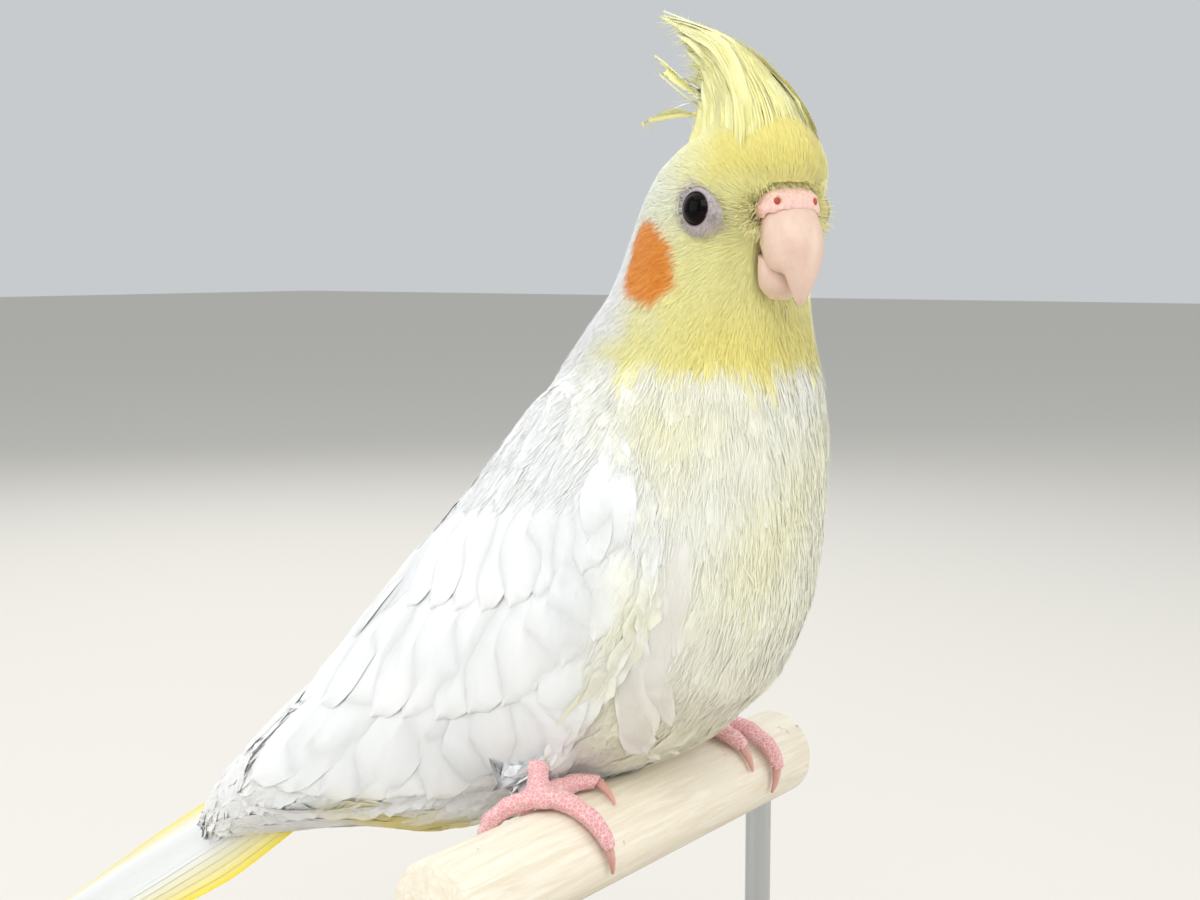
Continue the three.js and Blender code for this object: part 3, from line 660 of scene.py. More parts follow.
coatStyles = {
    "coat_body_vanes": coatStyle(11, 7000, 9.0, 2.2, 0.4, 0.1, vanes=True),
    "coat_body_strands_a": coatStyle(12, 46000, 6.5, 0.15, 0.8, 0.12),
    "coat_body_strands_b": coatStyle(13, 46000, 5.5, 0.12, 1.0, 0.18),
    "coat_body_strands_c": coatStyle(16, 46000, 7.0, 0.17, 0.6, 0.1),
    "coat_head_vanes": coatStyle(14, 7000, 3.0, 0.55, 0.3, 0.12, onHeadToo=True, vanes=True),
    "coat_head_strands_a": coatStyle(15, 46000, 3.0, 0.08, 0.75, 0.16, onHeadToo=True),
    "coat_head_strands_b": coatStyle(17, 46000, 2.4, 0.07, 0.6, 0.22, onHeadToo=True),
}

for styleName, style in coatStyles.items():
    if "head" in styleName:
        region, styleSlot = headRegion, "yellow_plumage"
    else:
        region, styleSlot = bodyRegion, "white_plumage"
    coatPiece(styleName, vaneFinish if "vanes" in styleName else strandFinish, styleSlot, region, style)


# crown: strands that run from the forehead and crown up over the foot of the crest

crownSizes = {"passes": 14, "inset": 0.0013, "rise": 1.3, "centreUp": 6}

crownVerts, crownTris = meshArrays(remeshed("crown", joinedNodes(["head", "crest"], skinSizes["inflate"]),
    skinSizes["voxel"], crownSizes["passes"],
    crownSizes["inset"]))
crownRise = crownSizes["rise"] * mm * smooth(9, 19, aboutHead(crownVerts)[:, 2])
crownVerts = crownVerts + unit(crownVerts - onHead([[0, 0, crownSizes["centreUp"]]])) * crownRise[:, None]
crownSurface = surfaceOf(crownVerts, crownTris)
crownTree = BVHTree.FromPolygons([tuple(v) for v in crownVerts], [tuple(t) for t in crownTris])


def onCrown(points):
    head = aboutHead(points)
    return smooth(5.5, 8.5, head[:, 2]) * smooth(-7, -3, head[:, 0]) * smooth(32, 26, head[:, 2])


coatPiece("coat_crown", strandFinish, "yellow_plumage", onCrown,
    coatStyle(18, 34000, 6.2, 0.11, 0.8, 0.1, onHeadToo=True), crownSurface, crownTree)

# larger feathers, one by one

def catmullRom(p0, p1, p2, p3, t):
    return 0.5 * (2 * p1 + (p2 - p0) * t + (2 * p0 - 5 * p1 + 4 * p2 - p3) * t ** 2
        + (3 * p1 - p0 - 3 * p2 + p3) * t ** 3)


def spline(points, count):
    # a smooth path through the points, evenly spaced along its length
    points = np.array(points, float)
    padded = np.vstack([2 * points[0] - points[1], points, 2 * points[-1] - points[-2]])
    path = []
    for i in range(len(points) - 1):
        p0, p1, p2, p3 = padded[i:i + 4]
        t = np.linspace(0, 1, 10, endpoint=False)[:, None]
        path.append(catmullRom(p0, p1, p2, p3, t))
    path = np.concatenate(path + [points[-1:]])
    gone = np.concatenate([[0], np.cumsum(np.linalg.norm(np.diff(path, axis=0), axis=1))])
    return np.stack([np.interp(np.linspace(0, gone[-1], count), gone, path[:, k]) for k in range(3)], -1)


def bladeWidths(count, root, widest, tip):
    # narrow at the quill, widest part way, round or pointed at the tip
    t = np.linspace(0, 1, count)
    rising = root + (1 - root) * smooth(0, widest, t)
    falling = np.clip((t - widest) / (1 - widest), 0, 1)
    return rising * (1 - falling ** tip) ** (1 / 1.6) + 0.03


hugging = {"share": 0.25, "least": 0.15}     # what is left of the height above the free one, and the least height


def hugged(verts, free):
    # draws a feather down towards the skin where it stands off further than the free height
    flat = verts.reshape(-1, 3)
    places, normals = nearestOn(skinTree, flat)
    height = ((flat - places) * normals).sum(-1)
    height = np.where(height > free, free + (height - free) * hugging["share"],
        np.maximum(height, hugging["least"] * mm))
    return (places + normals * height[:, None]).reshape(verts.shape)


def featherSet(name, feathers, material, slotName, *replaced, rows=14, root=0.45, widest=0.55, tip=2.4,
        camber=0.12, ragged=0.03, seed=5, free=None):
    # each feather is its path, the way that its upper side faces, its half width and a colour for each corner
    chooser = np.random.default_rng(seed)
    places = np.array([spline(f["path"], rows) for f in feathers]).transpose(1, 0, 2)
    ups = np.array([np.broadcast_to(f["up"], (rows, 3)) for f in feathers]).transpose(1, 0, 2)
    half = np.array([f["half"] for f in feathers]) * mm
    across = (-1, -0.6, -0.2, 0, 0.2, 0.6, 1)
    widths = bladeWidths(rows, root, widest, tip)
    verts = sheetArrays(places, ups, half, widths, across, camber, ragged, chooser)[0]
    if free:
        verts = hugged(verts, free * mm)
    t, a = np.meshgrid(np.linspace(0, 1, rows), np.array(across), indexing="ij")
    colors = np.array([f["color"](verts[i], t, a) for i, f in enumerate(feathers)])
    colors = colors * (1 + chooser.normal(0, 0.012, (len(feathers), 1, 1, 1)))
    return sheetPiece(name, verts, None, unwrapSkin(places[0]), colors, material, slotName, *replaced)


def onSide(y, z, side):
    # the place on the outside of the wing at that height and length
    start = Vector(perched([side * 45, y, z]))
    hit, normal = skinTree.ray_cast(start, Vector((-side, 0, 0)))[:2]
    if hit is None:
        hit, normal = skinTree.find_nearest(start)[:2]
    return np.array(hit), np.array(normal)


def along(line, k):
    line = np.array(line, float)
    return np.array([np.interp(k, np.linspace(0, 1, len(line)), line[:, i]) for i in range(line.shape[1])])


def wingFeather(side, start, end, sag, lift, half, color=None):
    # the feather lies on the wing from start to end, (y, z), bowed down by the sag
    path, ups = [], []
    for t in np.linspace(0, 1, 7):
        y, z = np.array(start) + (np.array(end) - np.array(start)) * t
        place, normal = onSide(y, z - sag * math.sin(math.pi * t), side)
        path.append(place + normal * mm * (lift * (-0.5 + 1.5 * smooth(0, 0.5, t)) + 0.15 * t))
        ups.append(normal)
    smoothUps = unit(np.array([np.mean(ups[max(0, i - 2):i + 3], axis=0) for i in range(len(ups))]))
    rowUps = np.array([along(smoothUps, t) for t in np.linspace(0, 1, 14)])
    return {"path": path, "up": rowUps, "half": half, "color": color or wingColor}


def wingColor(verts, t, a):
    color = markings(verts.reshape(-1, 3)).reshape(verts.shape)
    edge = smooth(0.55, 1.0, np.abs(a))
    color = mixColor(color, "#F7F8F8", 0.2 + 0.25 * edge)
    streak = 0.5 + 0.5 * np.sin(verts[..., 1] / mm * 1.9 + verts[..., 2] / mm * 2.7)
    # painted shade: up to 6% darker over the root end of each feather, which lies under the feathers above,
    # fading out towards the tip
    return color * (0.97 + 0.03 * streak)[..., None] * (1 - 0.06 * smooth(0.9, 0.0, t))[..., None]


wingRows = {
    "flight": {"count": 13, "roots": [(-10, 50), (0, 38), (12, 30), (26, 28), (38, 30)],
    "tips": [(0, 20), (12, 9), (32, 3), (58, -1), (79, -3)], "half": 5.6, "lift": 0.3, "sag": 1.5},
    "greater": {"count": 11, "roots": [(-14, 62), (-8, 52), (6, 50), (22, 48), (40, 42)],
    "tips": [(-9, 38), (6, 26), (24, 20), (44, 17), (66, 14)], "half": 5.4, "lift": 0.42, "sag": 1.0},
    "tertial": {"count": 10, "roots": [(20, 60), (28, 54), (36, 48), (44, 42)],
    "tips": [(50, 28), (62, 20), (74, 10), (84, 2)], "half": 3.6, "lift": 0.45, "sag": 0.5},
    "median": {"count": 9, "roots": [(-12, 70), (-4, 64), (8, 62), (22, 60)],
    "tips": [(-12, 52), (-2, 44), (14, 40), (32, 38)], "half": 4.6, "lift": 0.45, "sag": 0.5},
}

for sideName, side in (("right", -1), ("left", 1)):
    wingFeathers = []
    for row in wingRows.values():
        for i in range(row["count"]):
            k = i / (row["count"] - 1)
            wingFeathers.append(wingFeather(side, along(row["roots"], k), along(row["tips"], k), row["sag"],
                row["lift"] + 0.025 * i, row["half"]))
    featherSet("wing_feathers_" + sideName, wingFeathers, flightFinish, "white_plumage", seed=21 + side,
        free=1.5)

# flank: soft long feathers that lie in front of each wing's edge

def flankColor(verts, t, a):
    color = markings(verts.reshape(-1, 3)).reshape(verts.shape)
    return mixColor(color, "#F5F0EA", 0.6 + 0.15 * np.sin(a * 9 + t * 2))


flankChooser = np.random.default_rng(30)
flankFeathers = []
for side in (-1, 1):
    for i in range(16):
        k = i / 15
        start = along([(-23, 62), (-20, 53), (-15, 41)], k) + flankChooser.normal(0, 1, 2)
        end = along([(-19, 36), (-14, 23), (-7, 14.5)], k) + flankChooser.normal(0, 0.8, 2)
        flankFeathers.append(wingFeather(side, start, end, 0.0, 0.6 + 0.02 * i, 2.3, flankColor))
featherSet("flank_feathers", flankFeathers, flightFinish, "white_plumage", ragged=0.04, seed=31, free=1.2)

# back and rump: overlapping coverts whose round tips show along the edge of the back

backFeathers = []
for row in range(8):
    for column in range(-4, 5):
        x = (column + 0.5 * (row % 2)) * (3.4 - 0.1 * row)
        y = 34 + 6.2 * row
        hit, normal = skinTree.ray_cast(Vector(perched([x, y, 100])), Vector((0, 0, -1)))[:2]
        if hit is None:
            continue
        roots, normals = np.array([hit]), np.array([normal])
        flow = lieAt(roots, normals)
        steps = [0.0, 0.25, 0.5, 0.75, 1.0]
        places, ups = creep(roots, normals, flow, np.array([15 * mm]), steps,
            [np.array([(-0.3 + 1.1 * smooth(0, 0.6, t)) * mm]) for t in steps])
        backFeathers.append({"path": places[:, 0], "up": unit(ups[:, 0].mean(0)), "half": 2.9,
            "color": wingColor})
featherSet("back_coverts", backFeathers, flightFinish, "white_plumage", rows=10, widest=0.6, tip=2.8, seed=33,
    free=0.9)

# tail: twelve feathers, the middle pair longest and on top, the outer ones yellow at the edge

tailShape = {"slope": 32, "swing": 8, "roll": 45, "root": (2, 76, -4.5), "length": 152, "featherHalf": 4.8}
tailShares = (1.0, 0.93, 0.82, 0.72, 0.63, 0.55)     # lengths of each pair, the middle one first
tailProfile = {"at": [0, 0.2, 0.45, 0.7, 0.88, 1], "half": [9, 12, 11.2, 8.6, 5, 1.2],
    "thick": [3, 2.4, 1.7, 1.2, 0.8, 0.4], "arch": [2.5, 2.5, 2.1, 1.6, 0.9, 0.1]}
tailSlope, tailSwing, tailRoll = (math.radians(tailShape[k]) for k in ("slope", "swing", "roll"))
tailAlong = np.array([-math.sin(tailSwing) * math.cos(tailSlope), math.cos(tailSwing) * math.cos(tailSlope),
    -math.sin(tailSlope)])
tailLevel = unit(np.cross(tailAlong, [0, 0, 1]))
tailAcross = tailLevel * math.cos(tailRoll) - np.cross(tailAlong, tailLevel) * math.sin(tailRoll)
tailTop = np.cross(tailAcross, tailAlong)


def tailColor(outward, amount):
    def colored(verts, t, a):
        color = np.broadcast_to(linear("#F4F5F3"), verts.shape).copy()
        edge = smooth(0.1, 1.0, a * outward) * smooth(0.0, 0.15, t)
        color = dyed(color, "tailYellow", amount * (0.25 + 0.75 * edge))
        streak = 0.5 + 0.5 * np.sin(a * 17 + 3 * t)
        return color * (0.965 + 0.035 * streak)[..., None]
    return colored


tailFeathers = []
for i in range(len(tailShares)):
    for side in (-1, 1):
        share = tailShares[i]
        path, ups = [], []
        for t in np.linspace(0, 1, 22):
            at = t * share
            wide, thick, arch = (np.interp(at, tailProfile["at"], tailProfile[k])
                for k in ("half", "thick", "arch"))
            sideways = side * max(wide - 3.4, 0.2) * (i + 0.35) / 5.35
            drop = thick * (1 - 0.03 * i) - arch * (sideways / wide) ** 2 - 0.4
            tilt = 2 * arch * sideways / wide ** 2
            point = tailShape["root"] + tailAlong * (at * tailShape["length"]) + tailAcross * sideways
            path.append(perched(point + tailTop * drop))
            ups.append(tailTop + tailAcross * tilt)
        tailFeathers.append({"path": path, "up": unit(ups), "half": tailShape["featherHalf"],
            "color": tailColor(-side, 0.04 + 0.2 * i)})
featherSet("tail_feathers", tailFeathers, flightFinish, "white_plumage", "tail", rows=22, root=0.75,
    widest=0.4, tip=1.9, camber=0.06, ragged=0.02, seed=35)

# crest: feathers that rise from the crown and sweep back, with loose barbs along their rear edges

crestFront = [(16.2, 0, 7.5), (16.4, 0, 12.9), (11.2, 0, 19.7), (1.0, 0, 27.0), (-9.0, 0, 31.0),
    (-23.2, 0, 35.4)]
crestRear = [(-5.0, 0, 8.5), (-5.2, 0, 11.5), (-5.6, 0, 15.0), (-6.6, 0, 18.5), (-8.4, 0, 21.5),
    (-11.5, 0, 24.0)]
crestPlumes = [([(-1, 1, 17), (-8, 1, 27.5), (-15.5, 1, 33.5)], 1.5),
    ([(1, -1.5, 16), (-12, -2, 23), (-23, -2, 28.5)], 1.5),
    ([(0, -2, 15), (-11, -3, 20.5), (-19, -3.5, 25)], 1.4),
    ([(-1, -2, 14), (-10, -4, 18), (-23, -4.5, 16.8)], 1.0)]


def crestColor(shade):
    def colored(verts, t, a):
        base = np.broadcast_to(linear("#F6F3B2"), verts.shape).copy()
        base = mixColor(base, "#ECDF7A", shade * smooth(0.9, 0.1, t) + 0.25 * (np.abs(a) < 0.1))
        return mixColor(base, "#F4F2C4", smooth(0.6, 1.0, t) * 0.5)
    return colored


def crestFeather(path, lean, half, shade):
    ahead = unit(np.gradient(spline(path, 14), axis=0))
    local = np.stack([ahead[:, 2], np.zeros(14), -ahead[:, 0]], -1)
    local = unit(local) * math.cos(lean)
    local[:, 1] += math.sin(lean)
    return {"path": onHead(path), "up": headWay(local), "half": half, "color": crestColor(shade)}


crestCore = remeshed("crest_core", joinedNodes(["crest"]), 0.0007, 6, 0.0006)
coreVerts = meshArrays(crestCore)[0]
paint(crestCore, np.broadcast_to(linear("#F4EFA4"), coreVerts.shape))
linkPiece("crest_core", crestCore, vaneFinish, "yellow_plumage")

crestChooser = np.random.default_rng(41)
def crestPath(k, u, chooser, loose):
    # k runs from the front edge of the crest to its rear, u from the bird's right side to its left
    path = []
    for j in range(6):
        front, rear = np.array(crestFront[j], float), np.array(crestRear[j], float)
        point = front + (rear - front) * k
        taper = (1.0, 0.92, 0.66, 0.36, 0.18, 0.06)[j]
        point[1] = u * 8.2 * taper * (1 - 0.2 * k)
        point[0] -= 3.4 * taper * u * u * (1 - k)
        if j == 0:
            point[2] -= 0.8 * u * u * (1 - k)
        if j > 2:
            point += chooser.normal(0, loose, 3)
        path.append(point)
    return path


crestFeathers = []
for i in range(180):
    k = (i / 179) ** 1.2
    u = crestChooser.uniform(-1, 1) if i > 2 else 0.1 * i
    reach = 1.0 if i < 7 else crestChooser.uniform(0.42, 1.0)
    path = spline(crestPath(k, u, crestChooser, 0.45), 40)[:max(int(40 * reach), 8)]
    crestFeathers.append(crestFeather(spline(path, 6), u * 0.9, 1.3 - 0.3 * k, crestChooser.uniform(0, 0.5)))
for path, half in crestPlumes:
    crestFeathers.append(crestFeather(spline(path, 5), 0.5, half, 0.2))
featherSet("crest_feathers", crestFeathers, vaneFinish, "yellow_plumage", "crest", root=0.75, widest=0.25,
    tip=1.3, camber=0.15, ragged=0.06, seed=43)


def strandPiece(name, roots, ways, bends, lengths, halfWidths, colors, material, slotName, seed, facing):
    # loose hairlike barbs: thin strips that start at the roots and bend as they go
    chooser = np.random.default_rng(seed)
    rows = np.linspace(0, 1, 4)
    places = np.array([roots + ways * (lengths * t)[:, None] + bends * (lengths * t * t)[:, None]
        for t in rows])
    ups = np.broadcast_to(unit(facing + chooser.normal(0, 0.3, roots.shape)), places.shape)
    verts, shading = sheetArrays(places, ups, halfWidths, [1.0, 0.9, 0.6, 0.08], [-1, 1], 0.0, 0.05, chooser)
    return sheetPiece(name, verts, shading, unwrapSkin(roots), colors[:, None, None, :], material, slotName)


def barbsOf(feathers, perFeather, length, seed):
    chooser = np.random.default_rng(seed)
    roots, ways, bends, colors, facing = [], [], [], [], []
    for feather in feathers:
        path = spline(feather["path"], 40)
        tangents = unit(np.gradient(path, axis=0))
        ups = feather["up"][np.arange(40) * len(feather["up"]) // 40]
        for pick in chooser.integers(10, 39, perFeather):
            side = np.cross(ups[pick], tangents[pick]) * chooser.choice([-1, 1])
            roots.append(path[pick])
            facing.append(ups[pick])
            ways.append(unit(tangents[pick] * 0.8 + side * 0.55 + chooser.normal(0, 0.12, 3)))
            bends.append(tangents[pick] * 0.25 + np.array([0, 0, -0.15]))
            colors.append(linear("#F1EEAE") * chooser.uniform(0.9, 1.02))
    count = len(roots)
    return (np.array(roots), np.array(ways), np.array(bends), length * mm * chooser.uniform(0.6, 1.2, count),
        np.full(count, barbSizes["half"] * mm), np.array(colors), np.array(facing))


# fine loose feathers that cover the foot of the crest and run up along it

hairChooser = np.random.default_rng(49)
hairCount, hairHalf = 2600, 0.13
hairPaths, hairUps = [], []
for i in range(hairCount):
    k, u = hairChooser.uniform(0, 1) ** 1.4, hairChooser.uniform(-1, 1)
    path = spline(crestPath(k, u, hairChooser, 0.25), 30)
    start = int(hairChooser.uniform(0, 9))
    path = path[start:start + int(hairChooser.uniform(7, 18))]
    feather = crestFeather(spline(path, 6), u * 1.2, 0.1, 0)
    places = spline(feather["path"], 6)
    hairUps.append(feather["up"][:6])
    lifts = (np.linspace(-0.3, 0.75, 6) * mm)[:, None]
    hairPaths.append(places + feather["up"][:6] * lifts)
hairPlaces = np.array(hairPaths).transpose(1, 0, 2)
hairVerts, hairShading = sheetArrays(hairPlaces, np.array(hairUps).transpose(1, 0, 2),
    np.full(hairCount, hairHalf * mm), [0.7, 1.0, 1.0, 0.8, 0.5, 0.08],
    [-1, 1], 0.0, 0.05, hairChooser)
hairColors = np.broadcast_to(linear("#FAF6B8"), (hairCount, 3))
hairColors = mixColor(hairColors, "#F3E98E", hairChooser.uniform(0, 0.7, hairCount))
sheetPiece("crest_hairs", hairVerts, hairShading, unwrapSkin(hairPlaces[0]), hairColors[:, None, None, :],
    strandFinish, "yellow_plumage")
barbSizes = {"perFeather": 34, "length": 3.2, "half": 0.055}
crestBarbs = barbsOf(crestFeathers, barbSizes["perFeather"], barbSizes["length"], 45)
strandPiece("crest_barbs", *crestBarbs[:-1], strandFinish, "yellow_plumage", 46, crestBarbs[-1])

# eyes: dark glossy ball with a brown rim, in bare lilac lids edged with tiny tufts

eyePlace = {"ahead": 6.9, "spread": 10.2, "up": 1.3, "radius": 3.2}


def eyeMaterial():
    # wet cornea over a very dark brown iris: low roughness and a weak clear reflection
    made, tree = makeMaterial("wetDarkEye")
    layer = addNode(tree, "ShaderNodeAttribute", {"attribute_name": "tint"})
    finishMaterial(tree, {"Roughness": 0.04, "Specular IOR Level": 0.12, "IOR": 1.38}, layer.outputs["Color"])
    return made


def ballVerts(segments, rings):
    verts = []
    for r in range(rings + 1):
        polar = math.pi * r / rings
        for s in range(segments):
            turn = 2 * math.pi * s / segments
            flat = math.sin(polar)
            verts.append((flat * math.cos(turn), flat * math.sin(turn), math.cos(polar)))
    return np.array(verts), ringFaces(rings + 1, segments)


def cleanMesh(name, verts, faces):
    mesh = meshFrom(name, verts, faces)
    shape = bmesh.new()
    shape.from_mesh(mesh)
    bmesh.ops.remove_doubles(shape, verts=shape.verts, dist=1e-7)
    bmesh.ops.recalc_face_normals(shape, faces=shape.faces)
    shape.to_mesh(mesh)
    shape.free()
    mesh.shade_smooth()
    return mesh


eyeFinish = eyeMaterial()
eyeChooser = np.random.default_rng(47)
tuftRoots, tuftWays, tuftOut = [], [], []
beadVerts, beadFaces = ballVerts(8, 6)
# the lid's section: how far from the eye's axis, and how far out along it
lidRows = [(2.55, 1.7), (2.6, 1.98), (2.74, 2.06), (2.9, 1.96), (3.2, 1.66), (3.5, 1.25), (3.9, 0.75), (4.4, 0.0),
    (5.0, -1.0)]
lidSegments = 64
for sideName, side in (("right", -1), ("left", 1)):
    centre = np.array([eyePlace["ahead"], side * eyePlace["spread"], eyePlace["up"]])
    outward = unit(np.array([0.35, side * 1.0, 0.05]))
    level = unit(np.cross([0, 0, 1], outward))
    upright = np.cross(outward, level)
    ball, ballFaces = ballVerts(48, 32)
    ball = ball @ np.array([level, upright, outward])
    mesh = cleanMesh("eye_" + sideName, onHead(centre + ball * eyePlace["radius"]), ballFaces)
    verts = meshArrays(mesh)[0]
    offAxis = np.linalg.norm(np.cross(aboutHead(verts) - centre, outward), axis=1)
    eyeColor = np.broadcast_to(linear("#0E0807"), verts.shape).copy()
    eyeColor = mixColor(eyeColor, "#040303", smooth(1.75, 1.5, offAxis))
    eyeColor = mixColor(eyeColor, "#2C1712", smooth(2.2, 2.8, offAxis))
    paint(mesh, eyeColor)
    linkPiece("eyeball_" + sideName, mesh, eyeFinish, "eye_gloss", "eye_" + sideName)
    lidTurns = np.linspace(0, 2 * math.pi, lidSegments, endpoint=False)
    around = np.cos(lidTurns)[:, None] * level * 0.95 + np.sin(lidTurns)[:, None] * upright
    crease = 1 + 0.02 * np.sin(lidTurns * 32)[:, None]
    lidVerts = np.concatenate([centre + outward * out + around * radius * crease for radius, out in lidRows])
    lids = meshFrom("eye_lids_" + sideName, onHead(lidVerts), ringFaces(len(lidRows), lidSegments))
    lidColor = np.broadcast_to(linear("#C6BBC0"), lidVerts.shape).copy()
    lidColor = mixColor(lidColor, "#4A3B3E", np.repeat([1, 1, 0.8, 0.35, 0.1, 0, 0, 0, 0], lidSegments))
    paint(lids, lidColor)
    linkPiece("eye_lids_" + sideName, lids, skinFinish, "cere_skin")
    for turn, reach in eyeChooser.uniform((0, 2.95), (2 * math.pi, 4.7), (900, 2)):
        radial = level * math.cos(turn) * 0.95 + upright * math.sin(turn)
        out = np.interp(reach, [r for r, o in lidRows], [o for r, o in lidRows])
        tuftRoots.append(centre + outward * (out - 0.05) + radial * reach)
        tuftOut.append(onHead(outward) - onHead([0, 0, 0]))
        way = radial * 0.55 + outward * 0.28 + [-0.45, 0, -0.1]
        tuftWays.append(unit(way + eyeChooser.normal(0, 0.12, 3)))
tuftRoots = onHead(tuftRoots)
tuftCount = len(tuftRoots)
tuftColors = mixColor(markings(tuftRoots), "#CFC5CB", np.full(tuftCount, 0.3))
tuftColors = tuftColors * eyeChooser.uniform(0.82, 1.04, (tuftCount, 1))
strandPiece("eye_tufts", tuftRoots, headWay(tuftWays), np.zeros((tuftCount, 3)),
    1.15 * mm * eyeChooser.uniform(0.6, 1.2, tuftCount), np.full(tuftCount, 0.055 * mm), tuftColors,
    strandFinish, "white_plumage", 48, np.array(tuftOut))
print("eyes")

# bill, cere and nostrils: the bill lofted afresh with faint growth lines, the cere rounded

billFinish = hornMaterial("paleBillHorn", "#DCC6B2", "#CDA899", 0.42, 700.0)
clawFinish = hornMaterial("clawHorn", "#D8A79A", "#C08F86", 0.45, 900.0)
cereFinish = scaleSkinMaterial("cereSkin", "#DDB4A7", "#E6C4B8", 0.0009, 0.00006)
footFinish = scaleSkinMaterial("pinkFootSkin", "#DD9AA0", "#F0D2CB", 0.0007, 0.00015)


def cubicSteps(values, steps):
    # Catmull-Rom through the values, read at the steps
    padded = np.concatenate([[2 * values[0] - values[1]], values, [2 * values[-1] - values[-2]]])
    i = np.clip(steps.astype(int), 0, len(values) - 2)
    t = steps - i
    p0, p1, p2, p3 = padded[i], padded[i + 1], padded[i + 2], padded[i + 3]
    return catmullRom(p0, p1, p2, p3, t)


def smoothPiece(name, nodes, voxel, passes, material, slotName):
    mesh = remeshed(name, joinedNodes(nodes), voxel, passes)
    linkPiece(name, mesh, material, slotName, *nodes)
    print(name, len(mesh.polygons) * 2, "triangles")


# stations down each half of the bill: outer edge, inner edge and half the width, about the head

upperBill = [(-18.8, 1.6, -12.4, 0.6, 4.4), (-20.6, -1.2, -12, -2.8, 5.0), (-21.5, -3.8, -12.4, -5.8, 4.9),
    (-21.5, -6.4, -14.2, -8.4, 4.2), (-21.2, -8.2, -17.2, -9.0, 3.0), (-20.8, -10, -18, -10.7, 2.2),
    (-20, -12.4, -18.5, -12.6, 1.1), (-19.2, -13.8, -18.7, -13.8, 0.3)]
lowerBill = [(-14.6, -12.9, -12, -12.4, 1.8), (-17, -11.2, -11, -11, 3.5), (-17.4, -9.2, -11, -8.8, 4.2),
    (-16.4, -7.0, -11.5, -5.4, 4.2)]


def billPiece(name, stations, rows, columns, node):
    # each station is minus ahead and up of the outer edge, the same of the inner edge, and half the width
    path = np.array([(-s[0], s[1], 0) for s in stations]), np.array([(-s[2], s[3], s[4]) for s in stations])
    steps = np.linspace(0, len(stations) - 1, rows)
    outer, inner = (np.stack([cubicSteps(p[:, k], steps) for k in range(3)], -1) for p in path)
    verts = []
    for i in range(rows):
        for c in range(columns):
            turn = 2 * math.pi * c / columns
            high, wide = math.cos(turn), math.sin(turn)
            middle, reach = (outer[i] + inner[i]) / 2, (outer[i] - inner[i]) / 2
            growth = 1 + 0.004 * math.sin(i * 1.7) + 0.006 * math.sin(turn * 3 + i * 0.2)
            verts.append((middle[0] + reach[0] * high * growth, inner[i][2] * wide * growth,
                middle[1] + reach[1] * high))
    verts = np.array(verts + [np.mean(verts[:columns], axis=0), np.mean(verts[-columns:], axis=0)])
    faces = [tuple(face) for face in ringFaces(rows, columns)]
    for c in range(columns):
        n = (c + 1) % columns
        faces.append((rows * columns, n, c))
        faces.append((rows * columns + 1, (rows - 1) * columns + c, (rows - 1) * columns + n))
    mesh = cleanMesh(name, onHead(verts), faces)
    return linkPiece(name, mesh, billFinish, "bill_horn", node)


billPiece("upper_bill", upperBill, 48, 48, "bill_upper")
billPiece("lower_bill", lowerBill, 24, 48, "bill_lower")
smoothPiece("cere_swelling", ["cere"], 0.0002, 14, cereFinish, "cere_skin")

nostrilVerts, nostrilFaces = [], []
for side in (-1, 1):
    middle = np.array([17.0, side * 3.4, 2.35])
    nostrilFaces.append(beadFaces + len(nostrilVerts) * len(beadVerts))
    nostrilVerts.append(middle + beadVerts * [0.9, 0.85, 0.9])
nostrilFinish, nostrilTree = makeMaterial("nostrilSkinWithHoleShade")
# painted shade of the nostril holes over their reddish inner skin: a dark bead sits where each hole opens
finishMaterial(nostrilTree, {"Base Color": rgba("#A8432C"), "Roughness": 0.5})
nostrilMesh = cleanMesh("nostril_hole_shade_bead", onHead(np.concatenate(nostrilVerts)), np.concatenate(nostrilFaces))
linkPiece("nostril_hole_shade_bead", nostrilMesh, nostrilFinish, "cere_skin")

# bristly little feathers that stand forward round the cere

bristleChooser = np.random.default_rng(51)
bristleRoots, bristleWays, bristleOut = [], [], []
for i in range(1100):
    turn = bristleChooser.uniform(-0.9, math.pi + 0.9)
    reach = bristleChooser.uniform(0.85, 1.2)
    bristleRoots.append([15.0 - 5 * (reach - 0.85), 6.2 * reach * math.cos(turn),
        0.9 + 4.3 * reach * math.sin(turn)])
    bristleOut.append([0.6, math.cos(turn), math.sin(turn)])
    bristleWays.append(unit([0.55, 0.8 * math.cos(turn), 0.8 * math.sin(turn) + 0.1]
        + bristleChooser.normal(0, 0.22, 3)))
for i in range(1400):
    across = bristleChooser.uniform(-6.4, 6.4)
    high = i % 2
    ahead = 15.6 + high * 0.4 - 0.05 * across ** 2 - bristleChooser.uniform(0, 0.8)
    up = bristleChooser.uniform(5.2, 7.4) if high else bristleChooser.uniform(3.6, 4.8) - 0.05 * across ** 2
    bristleRoots.append([ahead, across, up])
    bristleWays.append(unit([0.75, 0.06 * across, -0.6 if high else 0.8] + bristleChooser.normal(0, 0.2, 3)))
    bristleOut.append([1, 0.1 * across, 0.5])
bristleRoots = onHead(bristleRoots)
bristleCount = len(bristleRoots)
bristleColors = mixColor(markings(bristleRoots), "#FAF4BE", np.full(bristleCount, 0.6))
strandPiece("face_bristles", bristleRoots, headWay(bristleWays),
    np.tile([0, 0, -0.2], (bristleCount, 1)), 2.6 * mm * bristleChooser.uniform(0.5, 1.2, bristleCount),
    np.full(bristleCount, 0.07 * mm), bristleColors, strandFinish, "yellow_plumage", 52,
    headWay(bristleOut))
for sideName in ("right", "left"):
    smoothPiece("scaly_foot_" + sideName, ["foot_" + sideName], 0.00028, 10, footFinish, "foot_skin")
    clawNodes = ["claw_" + sideName + "_" + toe
        for toe in ("front_outer", "front_inner", "back_outer", "back_inner")]
    smoothPiece("claws_" + sideName, clawNodes, 0.00014, 6, clawFinish, "claw_horn")
